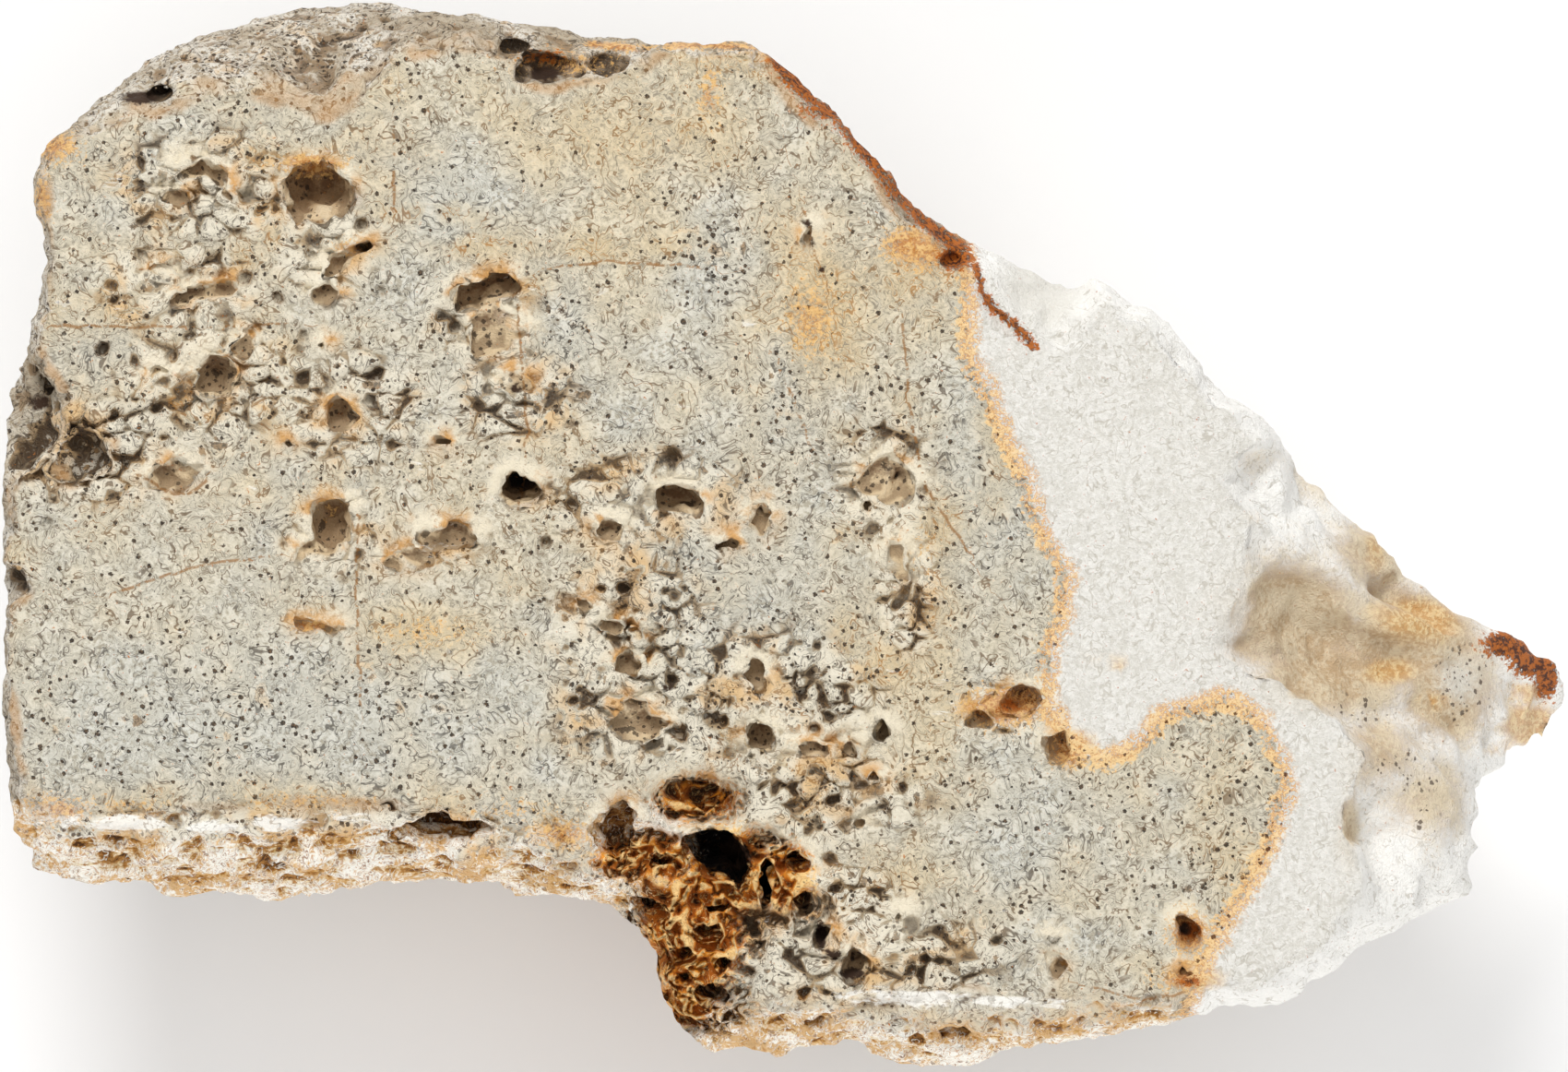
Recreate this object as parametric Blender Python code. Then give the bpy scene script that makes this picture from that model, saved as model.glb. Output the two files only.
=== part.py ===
"""Limestone chunk: one natural stone, sawn flat on one side, lying on its rough back with the cut face up.

Grey-beige limestone full of vugs, with a honeycomb corner, and white calcite grown on at its right end.
Metres, +Z up. The origin is the middle of the underside of the bounding box, on the resting spot.
"""

import math
import random

import bmesh
import bpy
import numpy as np
from mathutils import Matrix, Vector, noise
from mathutils.bvhtree import BVHTree

# Driving dimensions
LENGTH = 0.150
THICKNESS = 0.051

# Every plan length below is in millimetres of a stone that is PLAN_LENGTH long, from the middle of its plan.
PLAN_LENGTH = 151.53
MM = LENGTH / PLAN_LENGTH
TOP = THICKNESS / MM

# Spacing of the mesh: distance between its columns round the rim, and the bands of each column
COLUMN_STEP = 4.6
RIM_BANDS = 4
BACK_BANDS = 12
CURVE_STEPS = 40

# Back: its middle, how boxy it is, the half lengths of the ring that closes it, and how far it stays inside
# the widest outline
MIDDLE = Vector((-6.0, -1.0))
BACK_FULLNESS = 3.0
CLOSING = (12.0, 8.0)
INSET = 0.4

# How many neighbours on each side even out the turn at which a column of the back ends
EVENED_OVER = 4

# Uneven surface: how far each kind of relief reaches, the size of its bumps, and its place in the noise.
# The twist reaches by an angle.
LUMPS = (2.6, 15.0, 3.1)
KNOBS = (1.5, 7.0, 8.7)
GRIT = (0.35, 3.1, 1.9)
EDGE_ALONG = (0.3, 2.3, 4.0)
EDGE_ACROSS = (0.3, 2.3, 9.0)
TWIST = (0.09, 16.0, 6.6)
SPOT_EDGE = (0.18, 9.0, 2.2)

# Broken calcite is smooth: the share of the relief that it lacks
CALCITE_CALM = 0.7

# The flat spot that the stone rests on: half length, half width, and how far it is sunk before the flat cut
SPOT = (21.0, 14.0)
SPOT_SINK = 1.5

# Chips: how many small flat breaks the back has, and how deep the shallowest and deepest of them bite
CHIPS = 60
CHIP_BITE = (0.8, 4.5)

# How flat the breaks are, where 1 is quite flat
BREAK_FLATNESS = 0.85
CHIP_FLATNESS = 0.9

# Rim of the limestone: sawn edge x, y, then the widest outline x, y and how far it lies below the cut
UPPER_RIM = [
    (-70.5, 33.0, -72.2, 33.5, 3),
    (-70.0, 37.0, -70.5, 37.6, 3),
    (-66.5, 38.5, -66.4, 41.4, 6),
    (-62.0, 40.0, -62.4, 44.8, 9),
    (-57.5, 41.5, -58.1, 48.0, 11),
    (-53.0, 42.0, -53.6, 49.2, 13),
    (-48.5, 41.5, -49.0, 50.5, 14),
    (-44.0, 40.0, -45.0, 51.3, 15),
    (-41.0, 41.0, -40.5, 51.9, 15),
    (-39.0, 43.5, -37.6, 51.2, 13),
    (-36.5, 46.0, -34.6, 50.2, 10),
    (-32.0, 47.0, -30.5, 50.2, 7),
    (-25.5, 45.5, -25.5, 49.1, 7),
    (-23.0, 43.0, -22.5, 49.0, 8),
    (-18.0, 43.5, -18.5, 48.0, 7),
    (-14.0, 44.0, -14.5, 47.4, 6),
    (-12.0, 46.0, -12.0, 47.3, 4),
    (-8.0, 46.0, -8.0, 47.6, 3),
    (-4.0, 46.0, -3.5, 47.5, 3),
    (-1.0, 43.5, 0.0, 45.0, 3),
    (2.0, 40.0, 4.0, 41.5, 4),
    (5.5, 37.5, 6.7, 38.2, 4),
    (8.5, 34.0, 9.9, 34.5, 4),
    (11.5, 30.5, 12.9, 30.9, 5),
    (14.5, 28.0, 16.0, 28.8, 6),
    (17.0, 25.0, 19.6, 27.1, 8),
    (20.5, 21.5, 23.2, 25.9, 10),
    (24.0, 18.0, 26.6, 23.7, 10),
    (26.5, 18.0, 28.0, 23.5, 8),
    (28.5, 19.0, 29.6, 24.3, 7),
    (31.0, 21.0, 31.4, 24.2, 5),
    (34.5, 20.5, 35.0, 22.6, 5),
    (37.0, 17.5, 37.8, 18.8, 5),
    (39.5, 14.0, 40.7, 15.2, 5),
    (43.0, 11.0, 44.3, 12.3, 5),
    (45.0, 8.5, 46.8, 9.8, 5),
]

# Broken calcite: sawn edge x, y, then inner crease, ridge and widest outline, each x, y and depth
CALCITE_RIM = [
    (43.0, 7.5, 45.5, 7.5, 3, 47.5, 8.0, 5, 48.6, 7.7, 9),
    (41.0, 5.5, 45.0, 4.5, 4, 48.0, 3.5, 3.5, 51.5, 4.5, 11),
    (44.5, 1.5, 47.5, 0.0, 2, 50.0, 0.0, 4, 55.4, 1.9, 13),
    (44.5, -1.0, 48.5, -3.0, 4, 52.5, -2.5, 5, 58.3, -1.7, 14),
    (43.0, -5.5, 49.0, -5.5, 6.5, 55.5, -5.0, 6, 63.5, -6.8, 16),
    (42.0, -8.5, 49.5, -8.5, 8, 59.5, -9.0, 8, 71.0, -10.0, 18),
    (40.0, -10.5, 51.0, -12.0, 8, 64.0, -12.5, 12, 75.4, -12.6, 21),
    (42.5, -12.5, 52.5, -15.0, 6, 65.0, -15.5, 13, 76.4, -15.5, 23),
    (47.0, -14.0, 53.0, -17.5, 5, 66.0, -19.0, 14, 74.1, -20.7, 23),
    (52.5, -18.0, 56.5, -20.5, 4, 62.0, -21.5, 8, 68.1, -23.2, 17),
    (56.0, -21.5, 58.5, -23.0, 4, 63.0, -24.0, 7, 67.2, -25.5, 15),
    (54.0, -24.0, 55.5, -25.5, 4.5, 62.0, -27.5, 6, 67.0, -30.0, 12),
    (53.5, -28.5, 55.0, -29.5, 5, 61.0, -32.0, 6, 66.8, -34.3, 12),
    (55.0, -33.0, 57.5, -33.5, 3, 60.5, -35.5, 6, 62.0, -37.1, 12),
]

LOWER_RIM = [
    (52.5, -38.0, 55.0, -39.5, 10),
    (49.0, -41.0, 52.1, -42.1, 9),
    (46.5, -42.5, 49.1, -45.0, 8),
    (40.5, -43.0, 40.9, -45.5, 6),
    (35.5, -44.0, 35.5, -47.0, 6),
    (31.0, -44.0, 31.1, -47.8, 6),
    (26.5, -44.0, 26.5, -48.9, 7),
    (22.0, -44.5, 22.0, -49.8, 7),
    (17.5, -43.5, 17.5, -50.7, 8),
    (13.5, -43.5, 13.5, -51.6, 9),
    (10.0, -44.0, 9.9, -50.7, 8),
    (6.5, -45.0, 7.0, -48.6, 6),
    (2.5, -45.0, 3.0, -49.1, 6),
    (-2.5, -45.0, -2.5, -49.3, 7),
    (-6.0, -45.0, -6.5, -49.5, 8),
    (-8.5, -43.0, -9.6, -48.1, 8),
    (-10.0, -40.5, -11.9, -44.0, 8),
    (-10.5, -38.5, -11.7, -40.6, 7),
    (-12.0, -36.0, -13.3, -38.2, 7),
    (-16.5, -32.0, -16.5, -35.4, 6),
    (-22.0, -30.0, -22.6, -34.7, 8),
    (-26.5, -28.5, -26.5, -33.4, 8),
    (-31.0, -27.0, -31.0, -32.8, 9),
    (-35.5, -26.5, -35.5, -32.9, 9),
    (-40.0, -25.5, -40.0, -33.5, 10),
    (-44.0, -25.0, -44.5, -34.4, 10),
    (-48.5, -25.0, -49.0, -35.1, 11),
    (-53.0, -26.0, -53.5, -34.4, 10),
    (-57.5, -26.0, -58.0, -34.0, 10),
    (-62.0, -26.5, -62.5, -33.4, 9),
    (-66.5, -26.5, -67.0, -33.8, 9),
    (-70.0, -26.0, -71.5, -32.4, 8),
    (-72.0, -24.5, -73.4, -30.0, 6),
    (-73.5, -20.5, -74.4, -24.5, 4),
    (-74.0, -14.0, -74.9, -14.5, 3),
    (-74.3, -7.0, -74.8, -6.5, 3),
    (-74.0, -1.5, -75.1, -1.5, 3),
    (-74.0, 3.5, -75.0, 4.0, 3),
    (-73.0, 9.0, -74.7, 8.5, 5),
    (-72.5, 13.5, -74.5, 13.5, 6),
    (-71.0, 17.5, -73.0, 18.0, 5),
    (-70.5, 22.0, -71.5, 22.0, 3),
    (-70.5, 27.0, -70.9, 26.5, 3),
    (-71.0, 30.0, -71.9, 30.0, 3),
]

# Broken faces of the back and the sides: outward direction, and a point on the face
BREAKS = [
    ((-0.22, 0.06, -0.97), (-26, 0, 0)),
    ((0.28, 0.08, -0.95), (15, 4, 0)),
    ((0.02, 0.32, -0.94), (-6, 13, 0)),
    ((-0.05, -0.30, -0.95), (-8, -14, 0)),
    ((-0.93, -0.12, -0.35), (-71, 0, 22)),
    ((-0.55, 0.72, -0.42), (-58, 39, 18)),
    ((0.05, 0.88, -0.47), (-25, 45, 16)),
    ((0.62, 0.66, -0.42), (24, 22, 22)),
    ((0.84, 0.10, -0.53), (62, -12, 20)),
    ((0.52, -0.74, -0.42), (52, -36, 20)),
    ((0.02, -0.90, -0.44), (5, -46, 20)),
    ((-0.18, -0.88, -0.44), (-50, -30, 18)),
]

# Vugs in the sawn face: x, y, half length, half width, depth and turn in degrees
VUGS = [
    (-57.1, 35.0, 1.9, 1.2, 2.2, 0),
    (-54.6, 34.3, 1.4, 1.1, 2.0, 20),
    (-53.3, 32.6, 1.3, 0.9, 1.6, 0),
    (-58.4, 32.2, 1.6, 1.0, 1.6, 0),
    (-45.1, 32.6, 3.4, 2.7, 5.5, 0),
    (-40.3, 27.3, 1.5, 0.8, 5.5, 20),
    (-42.8, 25.6, 2.3, 1.1, 2.2, 28),
    (-59.8, 24.8, 1.4, 0.9, 1.4, 0),
    (-57.0, 22.8, 2.1, 1.1, 2.0, 10),
    (-53.8, 23.2, 1.4, 1.1, 1.6, 0),
    (-44.2, 22.8, 1.8, 1.2, 1.6, 0),
    (-28.8, 23.2, 3.7, 1.5, 4.5, 18),
    (-28.0, 19.5, 3.5, 2.7, 1.2, 30),
    (-26.0, 14.6, 2.1, 1.2, 1.2, 0),
    (-51.8, 18.1, 1.2, 1.4, 1.2, 0),
    (-44.2, 18.1, 0.5, 0.5, 3.0, 0),
    (-54.7, 15.0, 2.5, 2.3, 3.2, 0),
    (-60.3, 15.2, 1.3, 0.8, 1.4, 0),
    (-42.4, 11.1, 1.6, 1.9, 2.8, 0),
    (-47.9, 8.5, 0.6, 0.8, 3.5, 0),
    (-58.8, 5.5, 2.7, 1.5, 1.4, 10),
    (-32.7, 8.8, 1.3, 0.5, 3.5, 0),
    (-25.5, 4.2, 2.4, 1.7, 9.0, 10),
    (-10.2, 3.0, 2.6, 1.6, 4.5, 0),
    (-2.5, 1.3, 1.3, 1.8, 2.8, 0),
    (-16.8, 0.4, 1.6, 1.1, 3.0, 0),
    (-5.3, -0.9, 1.4, 0.9, 3.5, 0),
    (-43.2, 0.9, 2.2, 2.7, 4.0, 0),
    (-44.6, -1.7, 2.7, 1.4, 1.6, 15),
    (-32.4, -0.2, 3.0, 1.5, 1.8, 0),
    (-36.1, -2.4, 3.2, 1.1, 1.4, 10),
    (9.7, 4.7, 2.7, 2.5, 1.3, 0),
    (7.7, 2.4, 0.6, 0.7, 4.0, 0),
    (11.0, 5.1, 0.7, 0.7, 4.0, 0),
    (11.0, -2.8, 1.1, 2.5, 1.0, 12),
    (-44.7, -8.8, 3.0, 0.7, 1.4, -8),
    (-19.1, -7.0, 1.1, 0.9, 1.8, 0),
    (-16.5, -9.0, 1.5, 1.1, 1.8, 0),
    (-14.2, -9.9, 1.0, 0.8, 1.6, 0),
    (-14.9, -12.5, 1.9, 1.2, 2.8, 0),
    (-14.2, -18.3, 2.9, 1.9, 2.0, 0),
    (-14.4, -16.3, 1.8, 0.6, 3.5, 0),
    (-2.7, -13.7, 1.2, 1.8, 2.4, 0),
    (-2.3, -19.5, 1.5, 1.8, 3.2, 0),
    (2.6, -20.6, 2.1, 0.9, 1.8, 0),
    (6.5, -20.6, 1.1, 1.0, 1.8, 0),
    (9.2, -19.0, 0.8, 1.2, 5.0, 0),
    (8.4, -23.5, 1.0, 0.5, 3.0, 20),
    (19.0, -17.7, 1.4, 1.2, 3.0, 0),
    (22.6, -15.9, 1.8, 1.6, 3.5, 0),
    (26.5, -20.6, 1.3, 1.9, 3.4, 0),
    (38.5, -38.1, 1.2, 1.9, 4.0, 20),
    (38.4, -42.0, 1.3, 0.7, 3.0, 0),
    (25.9, -38.8, 0.8, 0.4, 2.2, 0),
    (26.0, -41.6, 0.8, 1.4, 2.2, 0),
    (7.2, -27.8, 0.8, 0.5, 2.2, 0),
    (11.2, -36.6, 0.5, 0.9, 2.2, 0),
    (3.8, -38.8, 1.0, 1.6, 4.5, -30),
    (6.9, -41.5, 1.4, 1.3, 5.0, 0),
    (2.4, 28.5, 0.5, 1.9, 1.8, -25),
    (16.0, 26.2, 1.2, 1.1, 3.5, 0),
]

# Hollows that open through the rim, in the same order
RIM_HOLLOWS = [
    (-22.8, 44.6, 3.5, 1.5, 5.0, 0),
    (-16.7, 44.9, 2.3, 1.2, 4.0, 0),
    (-25.9, 46.4, 1.9, 0.9, 5.0, 0),
    (-60.0, 42.0, 1.9, 0.6, 9.0, 8),
    (-75.0, 11.5, 7.5, 6.5, 6.0, 0),
    (-67.5, 7.5, 3.6, 2.4, 3.0, 15),
    (-70.9, 13.7, 1.2, 1.0, 10.0, 0),
    (-74.6, -4.9, 2.2, 1.7, 4.5, 0),
    (16.0, -47.6, 1.9, 1.1, 8.0, 0),
    (28.7, -46.6, 1.1, 0.7, 7.0, 0),
    (-31.9, -28.5, 5.1, 1.8, 8.0, 0),
    (3.1, -47.0, 1.6, 0.7, 7.0, 0),
]

# Cells of the honeycomb corner, in the same order, with thin walls left between them
HONEYCOMB = [
    (-8.7, -25.4, 3.4, 1.8, 5.5, 0),
    (-16.1, -28.7, 2.2, 3.0, 7.0, 0),
    (-11.6, -31.5, 1.5, 0.8, 4.5, 0),
    (-1.6, -33.7, 1.1, 2.9, 10.0, 0),
    (1.5, -31.6, 1.3, 1.3, 6.0, 0),
    (1.7, -35.5, 1.1, 1.7, 6.0, 0),
    (-1.7, -29.4, 1.1, 0.7, 4.0, 0),
    (-12.4, -36.5, 1.9, 1.2, 8.0, -15),
    (-7.4, -38.6, 2.0, 0.8, 8.0, 0),
    (-9.7, -40.9, 1.3, 1.0, 9.0, 0),
    (-6.4, -36.3, 1.5, 0.8, 6.0, 0),
    (-6.7, -44.6, 1.8, 1.4, 7.0, 0),
    (-9.6, -43.4, 0.9, 0.9, 7.0, 0),
    (-6.0, -41.5, 1.0, 1.0, 6.0, 0),
]

# The deep hole beside the honeycomb: its mouth, corner by corner, and its depth
HOLE_MOUTH = [
    (-10.5, -29.0), (-9.8, -28.5), (-5.5, -28.3), (-4.3, -29.0), (-3.6, -30.5), (-3.6, -32.5),
    (-3.9, -34.5), (-4.2, -35.6), (-5.4, -33.5), (-7.6, -33.2), (-8.9, -31.7), (-10.0, -30.2),
]
HOLE_DEPTH = 17.0

# Flat faces where slabs of calcite have split off the right end: x, y and height of a point that the face
# lies straight out from, the turn from +X and the rise of the way out in degrees, then the slab's length,
# width and turn
SPLITS = [
    (60.0, -7.5, 35, 50, 62, 9, 5, 15),
    (50.0, 3.5, 40, 50, 40, 8, 5, -10),
    (70.0, -19.0, 28, -60, 30, 8, 6, 10),
    (61.0, -9.5, 25, 32, -30, 11, 8, 14),
    (55.0, -32.5, 24, -28, -18, 11, 8, -14),
    (52.0, -4.0, 24, 45, -25, 13, 9, 8),
    (46.0, 6.0, 26, 52, 5, 12, 9, -10),
    (50.0, -36.0, 28, -52, 0, 12, 8, 16),
    (40.0, -16.0, 10, -10, -60, 15, 12, 30),
]
SPLIT_BITE = 1.1
SLAB_HEIGHT = 9.0
SLAB_SKEW = 0.27

# A hollow's rings: share of its depth and of its mouth's width, the first one over the cut face.
# Hollows less deep than SHALLOW have one ring less.
SHALLOW = 2.6
SHALLOW_CUP = [(0.0, 1.0), (0.55, 1.02), (1.0, 0.5)]
DEEP_CUP = [(0.0, 1.0), (0.3, 1.06), (0.75, 0.82), (1.0, 0.42)]

# How unevenly a cup is drawn, as shares of its width and depth, and of its mouth
CUP_ROUGHNESS = (0.86, 1.1)
FLOOR_ROUGHNESS = (0.88, 1.05)
MOUTH_ROUGHNESS = (0.86, 1.12)
CORNER_SHIFT = 0.22

# Hollows reach back towards +Y, and a little to either side, by these shares of their depth
REACH_BACK = 0.22
REACH_ASIDE = 0.1
HOLE_REACH_BACK = 0.12

# How far the cutters stand out over the cut face
CUTTER_OVER = 2.0

# The white calcite lies beyond this x
CALCITE_START = 30.0

CHIP_SEED = 5
HOLLOW_SEED = 11


def clear_scene():
    for item in list(bpy.data.objects):
        bpy.data.objects.remove(item, do_unlink=True)


def stone_material(name, colour, roughness):
    material = bpy.data.materials.new(name)
    material.use_nodes = True
    shader = material.node_tree.nodes["Principled BSDF"]
    shader.inputs["Base Color"].default_value = (*colour, 1.0)
    shader.inputs["Roughness"].default_value = roughness
    shader.inputs["Metallic"].default_value = 0.0
    return material


def shoulder(edge, outline, share):
    """A point on the worn quarter round between the sawn edge and the widest outline."""
    angle = share * math.pi / 2
    arc_out, arc_down = math.sin(angle), 1.0 - math.cos(angle)
    out = 0.6 * arc_out + 0.4 * share
    down = 0.6 * arc_down + 0.4 * share
    plan = edge.xy.lerp(outline.xy, out)
    return Vector((plan.x, plan.y, edge.z + (outline.z - edge.z) * down))


def limestone_station(edge_x, edge_y, out_x, out_y, depth):
    edge = Vector((edge_x, edge_y, TOP))
    outline = Vector((out_x, out_y, TOP - depth))
    rows = [shoulder(edge, outline, band / RIM_BANDS) for band in range(RIM_BANDS + 1)]
    return rows, 0.0


def calcite_station(edge_x, edge_y, in_x, in_y, in_depth, ridge_x, ridge_y, ridge_depth, out_x, out_y, depth):
    edge = Vector((edge_x, edge_y, TOP))
    crease = Vector((in_x, in_y, TOP - in_depth))
    ridge = Vector((ridge_x, ridge_y, TOP - ridge_depth))
    outline = Vector((out_x, out_y, TOP - depth))
    return [edge, crease, crease.lerp(ridge, 0.5), ridge, outline], 1.0


def stations():
    found = [limestone_station(*numbers) for numbers in UPPER_RIM]
    found += [calcite_station(*numbers) for numbers in CALCITE_RIM]
    found += [limestone_station(*numbers) for numbers in LOWER_RIM]
    return found


def between(before, start, end, after, share):
    """A point on the smooth curve from start to end."""
    slope_in, slope_out = (end - before) / 2, (after - start) / 2
    a, b = share * share * (3 - 2 * share), share * (1 - share)
    return start.lerp(end, a) + slope_in * b * (1 - share) - slope_out * b * share


def rim_columns():
    """The rim's rows of points all round, about COLUMN_STEP apart, and how much of calcite each column is."""
    found, columns = stations(), []
    count = len(found)
    for index in range(count):
        (before, _), (start, crystal) = found[index - 1], found[index]
        (end, next_crystal), (after, _) = found[(index + 1) % count], found[(index + 2) % count]
        steps = max(1, round((end[-1].xy - start[-1].xy).length / COLUMN_STEP))
        for step in range(steps):
            share = step / steps
            if crystal or next_crystal:
                rows = [a.lerp(b, share) for a, b in zip(start, end)]
            else:
                rows = [between(*points, share) for points in zip(before, start, end, after)]
            columns.append((rows, crystal * (1 - share) + next_crystal * share))
    return columns


def spread_evenly(points, count):
    """That many points along a polyline, the last one at its end, all the same distance apart."""
    lengths = [0.0]
    for start, end in zip(points, points[1:]):
        lengths.append(lengths[-1] + (end - start).length)
    spread, at = [], 0
    for number in range(1, count + 1):
        target = lengths[-1] * number / count
        while at < len(points) - 2 and lengths[at + 1] < target:
            at += 1
        share = (target - lengths[at]) / (lengths[at + 1] - lengths[at])
        spread.append(points[at].lerp(points[at + 1], share))
    return spread


def foot_angles(outlines):
    """The turn round the middle at which each column ends, evened out so that no two columns cross."""
    turns = np.unwrap([math.atan2(point.y - MIDDLE.y, point.x - MIDDLE.x) for point in outlines])
    whole_turn = math.copysign(2 * math.pi, turns[-1] - turns[0])
    before, after = turns[-EVENED_OVER:] - whole_turn, turns[:EVENED_OVER] + whole_turn
    window = np.full(2 * EVENED_OVER + 1, 1 / (2 * EVENED_OVER + 1))
    return np.convolve(np.concatenate([before, turns, after]), window, "valid")


def back_rows(outline, angle):
    """Points from the widest outline round the back to a small ring under the middle."""
    foot = MIDDLE + Vector((CLOSING[0] * math.cos(angle), CLOSING[1] * math.sin(angle)))
    drop = outline.z + SPOT_SINK
    curve = []
    for step in range(CURVE_STEPS + 1):
        turn = step / CURVE_STEPS * math.pi / 2
        inward = 1.0 - math.cos(turn) ** (2 / BACK_FULLNESS)
        down = math.sin(turn) ** (2 / BACK_FULLNESS)
        plan = outline.xy.lerp(foot, inward)
        curve.append(Vector((plan.x, plan.y, outline.z - drop * down)))
    return spread_evenly(curve, BACK_BANDS)


def relief(point, kind, lowered=0.0):
    """Smooth uneven relief of one kind at a point, lowered by a share of its reach."""
    reach, size, place = kind
    return reach * (noise.noise(point / size + Vector((place, 0, 0))) - lowered)


def weathered(point, rear, crystal):
    """Moves a point of the rim or the back in or out. rear is 0 at the rim and 1 on the back."""
    out = Vector((point.x - MIDDLE.x, point.y - MIDDLE.y, (point.z - TOP * 0.6) * 1.3)).normalized()
    lump = relief(point, LUMPS, 0.5) * rear
    knob = relief(point, KNOBS, 0.4 * rear) * (0.3 + 0.7 * rear)
    grit = relief(point, GRIT)
    return point + out * (lump + knob + grit) * (1.0 - CALCITE_CALM * crystal)


def pressed(point, faces):
    """Lays a point that stands beyond a flat face back almost onto that face."""
    for normal, distance, flatness in faces:
        beyond = point.dot(normal) - distance
        if beyond > 0:
            point = point - normal * beyond * flatness
    return point


def broken_faces():
    """The large broken faces, as direction, distance from the origin and how flat they are."""
    faces = []
    for direction, on_face in BREAKS:
        normal = Vector(direction).normalized()
        faces.append((normal, normal.dot(Vector(on_face)), BREAK_FLATNESS))
    return faces


def chip_faces(points, dice):
    """Small flat breaks all over the back, each biting a little into what stands out most on its side."""
    faces = []
    for _ in range(CHIPS):
        turn, fall = dice.uniform(0, 2 * math.pi), dice.uniform(-0.05, 0.8)
        level = math.sqrt(1 - fall * fall)
        normal = Vector((math.cos(turn) * level, math.sin(turn) * level, -fall))
        reach = max(point.dot(normal) for point in points)
        faces.append((normal, reach - dice.uniform(*CHIP_BITE), CHIP_FLATNESS))
    return faces


def rim_points(rows, crystal):
    """One column of the rim: the sawn edge wanders only sideways, so that the cut stays flat."""
    edge = rows[0]
    shift = Vector((relief(edge, EDGE_ALONG), relief(edge, EDGE_ACROSS), 0))
    return [edge + shift] + [weathered(point, 0.0, crystal) for point in rows[1:]]


def back_points(outline, angle, crystal, faces):
    """One column of the back, rougher and more twisted the farther it is from the rim."""
    points = []
    for index, point in enumerate(back_rows(outline, angle)):
        rear = min(1.0, 3 * (index + 1) / BACK_BANDS)
        away = point.xy - MIDDLE
        away.rotate(Matrix.Rotation(relief(Vector((0, 0, point.z)), TWIST) * rear, 2))
        twisted = Vector((MIDDLE.x + away.x, MIDDLE.y + away.y, point.z))
        points.append(pressed(weathered(twisted, rear, crystal), faces))
    return points


def beside_each_other(backs):
    """Draws each point of the back to between its neighbours in the same row, so that columns keep apart."""
    evened = []
    for before, back, after in zip(backs[-1:] + backs[:-1], backs, backs[1:] + backs[:1]):
        evened.append([point.lerp((left + right) / 2, 0.5) for left, point, right in zip(before, back, after)])
    return evened


def inside_outline(outlines):
    """A function that draws a point in until it lies within the widest outline, as seen from above."""
    away = np.array([(point.x - MIDDLE.x, point.y - MIDDLE.y) for point in outlines])
    turns = np.arctan2(away[:, 1], away[:, 0])
    reaches = np.hypot(away[:, 0], away[:, 1])

    def draw_in(point):
        plan = point.xy - MIDDLE
        reach = float(np.interp(math.atan2(plan.y, plan.x), turns, reaches, period=2 * math.pi))
        share = min(1.0, (reach - INSET) / max(plan.length, 1e-6))
        return Vector((MIDDLE.x + plan.x * share, MIDDLE.y + plan.y * share, point.z))

    return draw_in


def on_spot(point):
    """Sinks a point of the underside that lies within the resting spot."""
    away = point.xy - MIDDLE
    reach = 1.0 + relief(Vector((point.x, point.y, 0)), SPOT_EDGE)
    within = (away.x / SPOT[0]) ** 2 + (away.y / SPOT[1]) ** 2 < reach
    return Vector((point.x, point.y, -SPOT_SINK)) if within and point.z < TOP / 3 else point


def stone_shell():
    """The closed surface of the stone before its hollows: cut face, rim, back and the bottom."""
    mesh = bmesh.new()
    columns = rim_columns()
    outlines = [rows[-1] for rows, _ in columns]
    rims = [rim_points(rows, crystal) for rows, crystal in columns]
    backs = []
    for (rows, crystal), angle in zip(columns, foot_angles(outlines)):
        backs.append(back_points(rows[-1], angle, crystal, broken_faces()))
    backs = beside_each_other(backs)
    chips = chip_faces([point for back in backs for point in back], random.Random(CHIP_SEED))
    draw_in = inside_outline(outlines)
    rings = []
    for rim, back in zip(rims, backs):
        column = rim + [on_spot(draw_in(pressed(point, chips))) for point in back]
        rings.append([mesh.verts.new(point * MM) for point in column])
    for ring, following in zip(rings, rings[1:] + rings[:1]):
        for low in range(len(ring) - 1):
            mesh.faces.new((ring[low], following[low], following[low + 1], ring[low + 1]))
    mesh.faces.new([ring[0] for ring in reversed(rings)])
    mesh.faces.new([ring[-1] for ring in rings])
    return mesh


def flatten_spot(mesh):
    """Cuts off what reaches below the resting plane, and closes the flat spot."""
    geometry = mesh.verts[:] + mesh.edges[:] + mesh.faces[:]
    ground, down = (0, 0, 0), (0, 0, -1)
    bmesh.ops.bisect_plane(mesh, geom=geometry, dist=1e-7, plane_co=ground, plane_no=down, clear_outer=True)
    open_edges = [edge for edge in mesh.edges if edge.is_boundary]
    bmesh.ops.holes_fill(mesh, edges=open_edges, sides=0)
    bmesh.ops.recalc_face_normals(mesh, faces=mesh.faces[:])


def centre_plan(mesh):
    """Moves the stone so that the middle of its plan is at the origin, and gives the move."""
    low = Vector([min(vert.co[axis] for vert in mesh.verts) for axis in range(2)])
    high = Vector([max(vert.co[axis] for vert in mesh.verts) for axis in range(2)])
    move = (-(low + high) / 2).to_3d()
    bmesh.ops.translate(mesh, verts=mesh.verts[:], vec=move)
    return move


def object_from(mesh, name, group):
    data = bpy.data.meshes.new(name)
    mesh.to_mesh(data)
    mesh.free()
    item = bpy.data.objects.new(name, data)
    group.objects.link(item)
    return item


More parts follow.
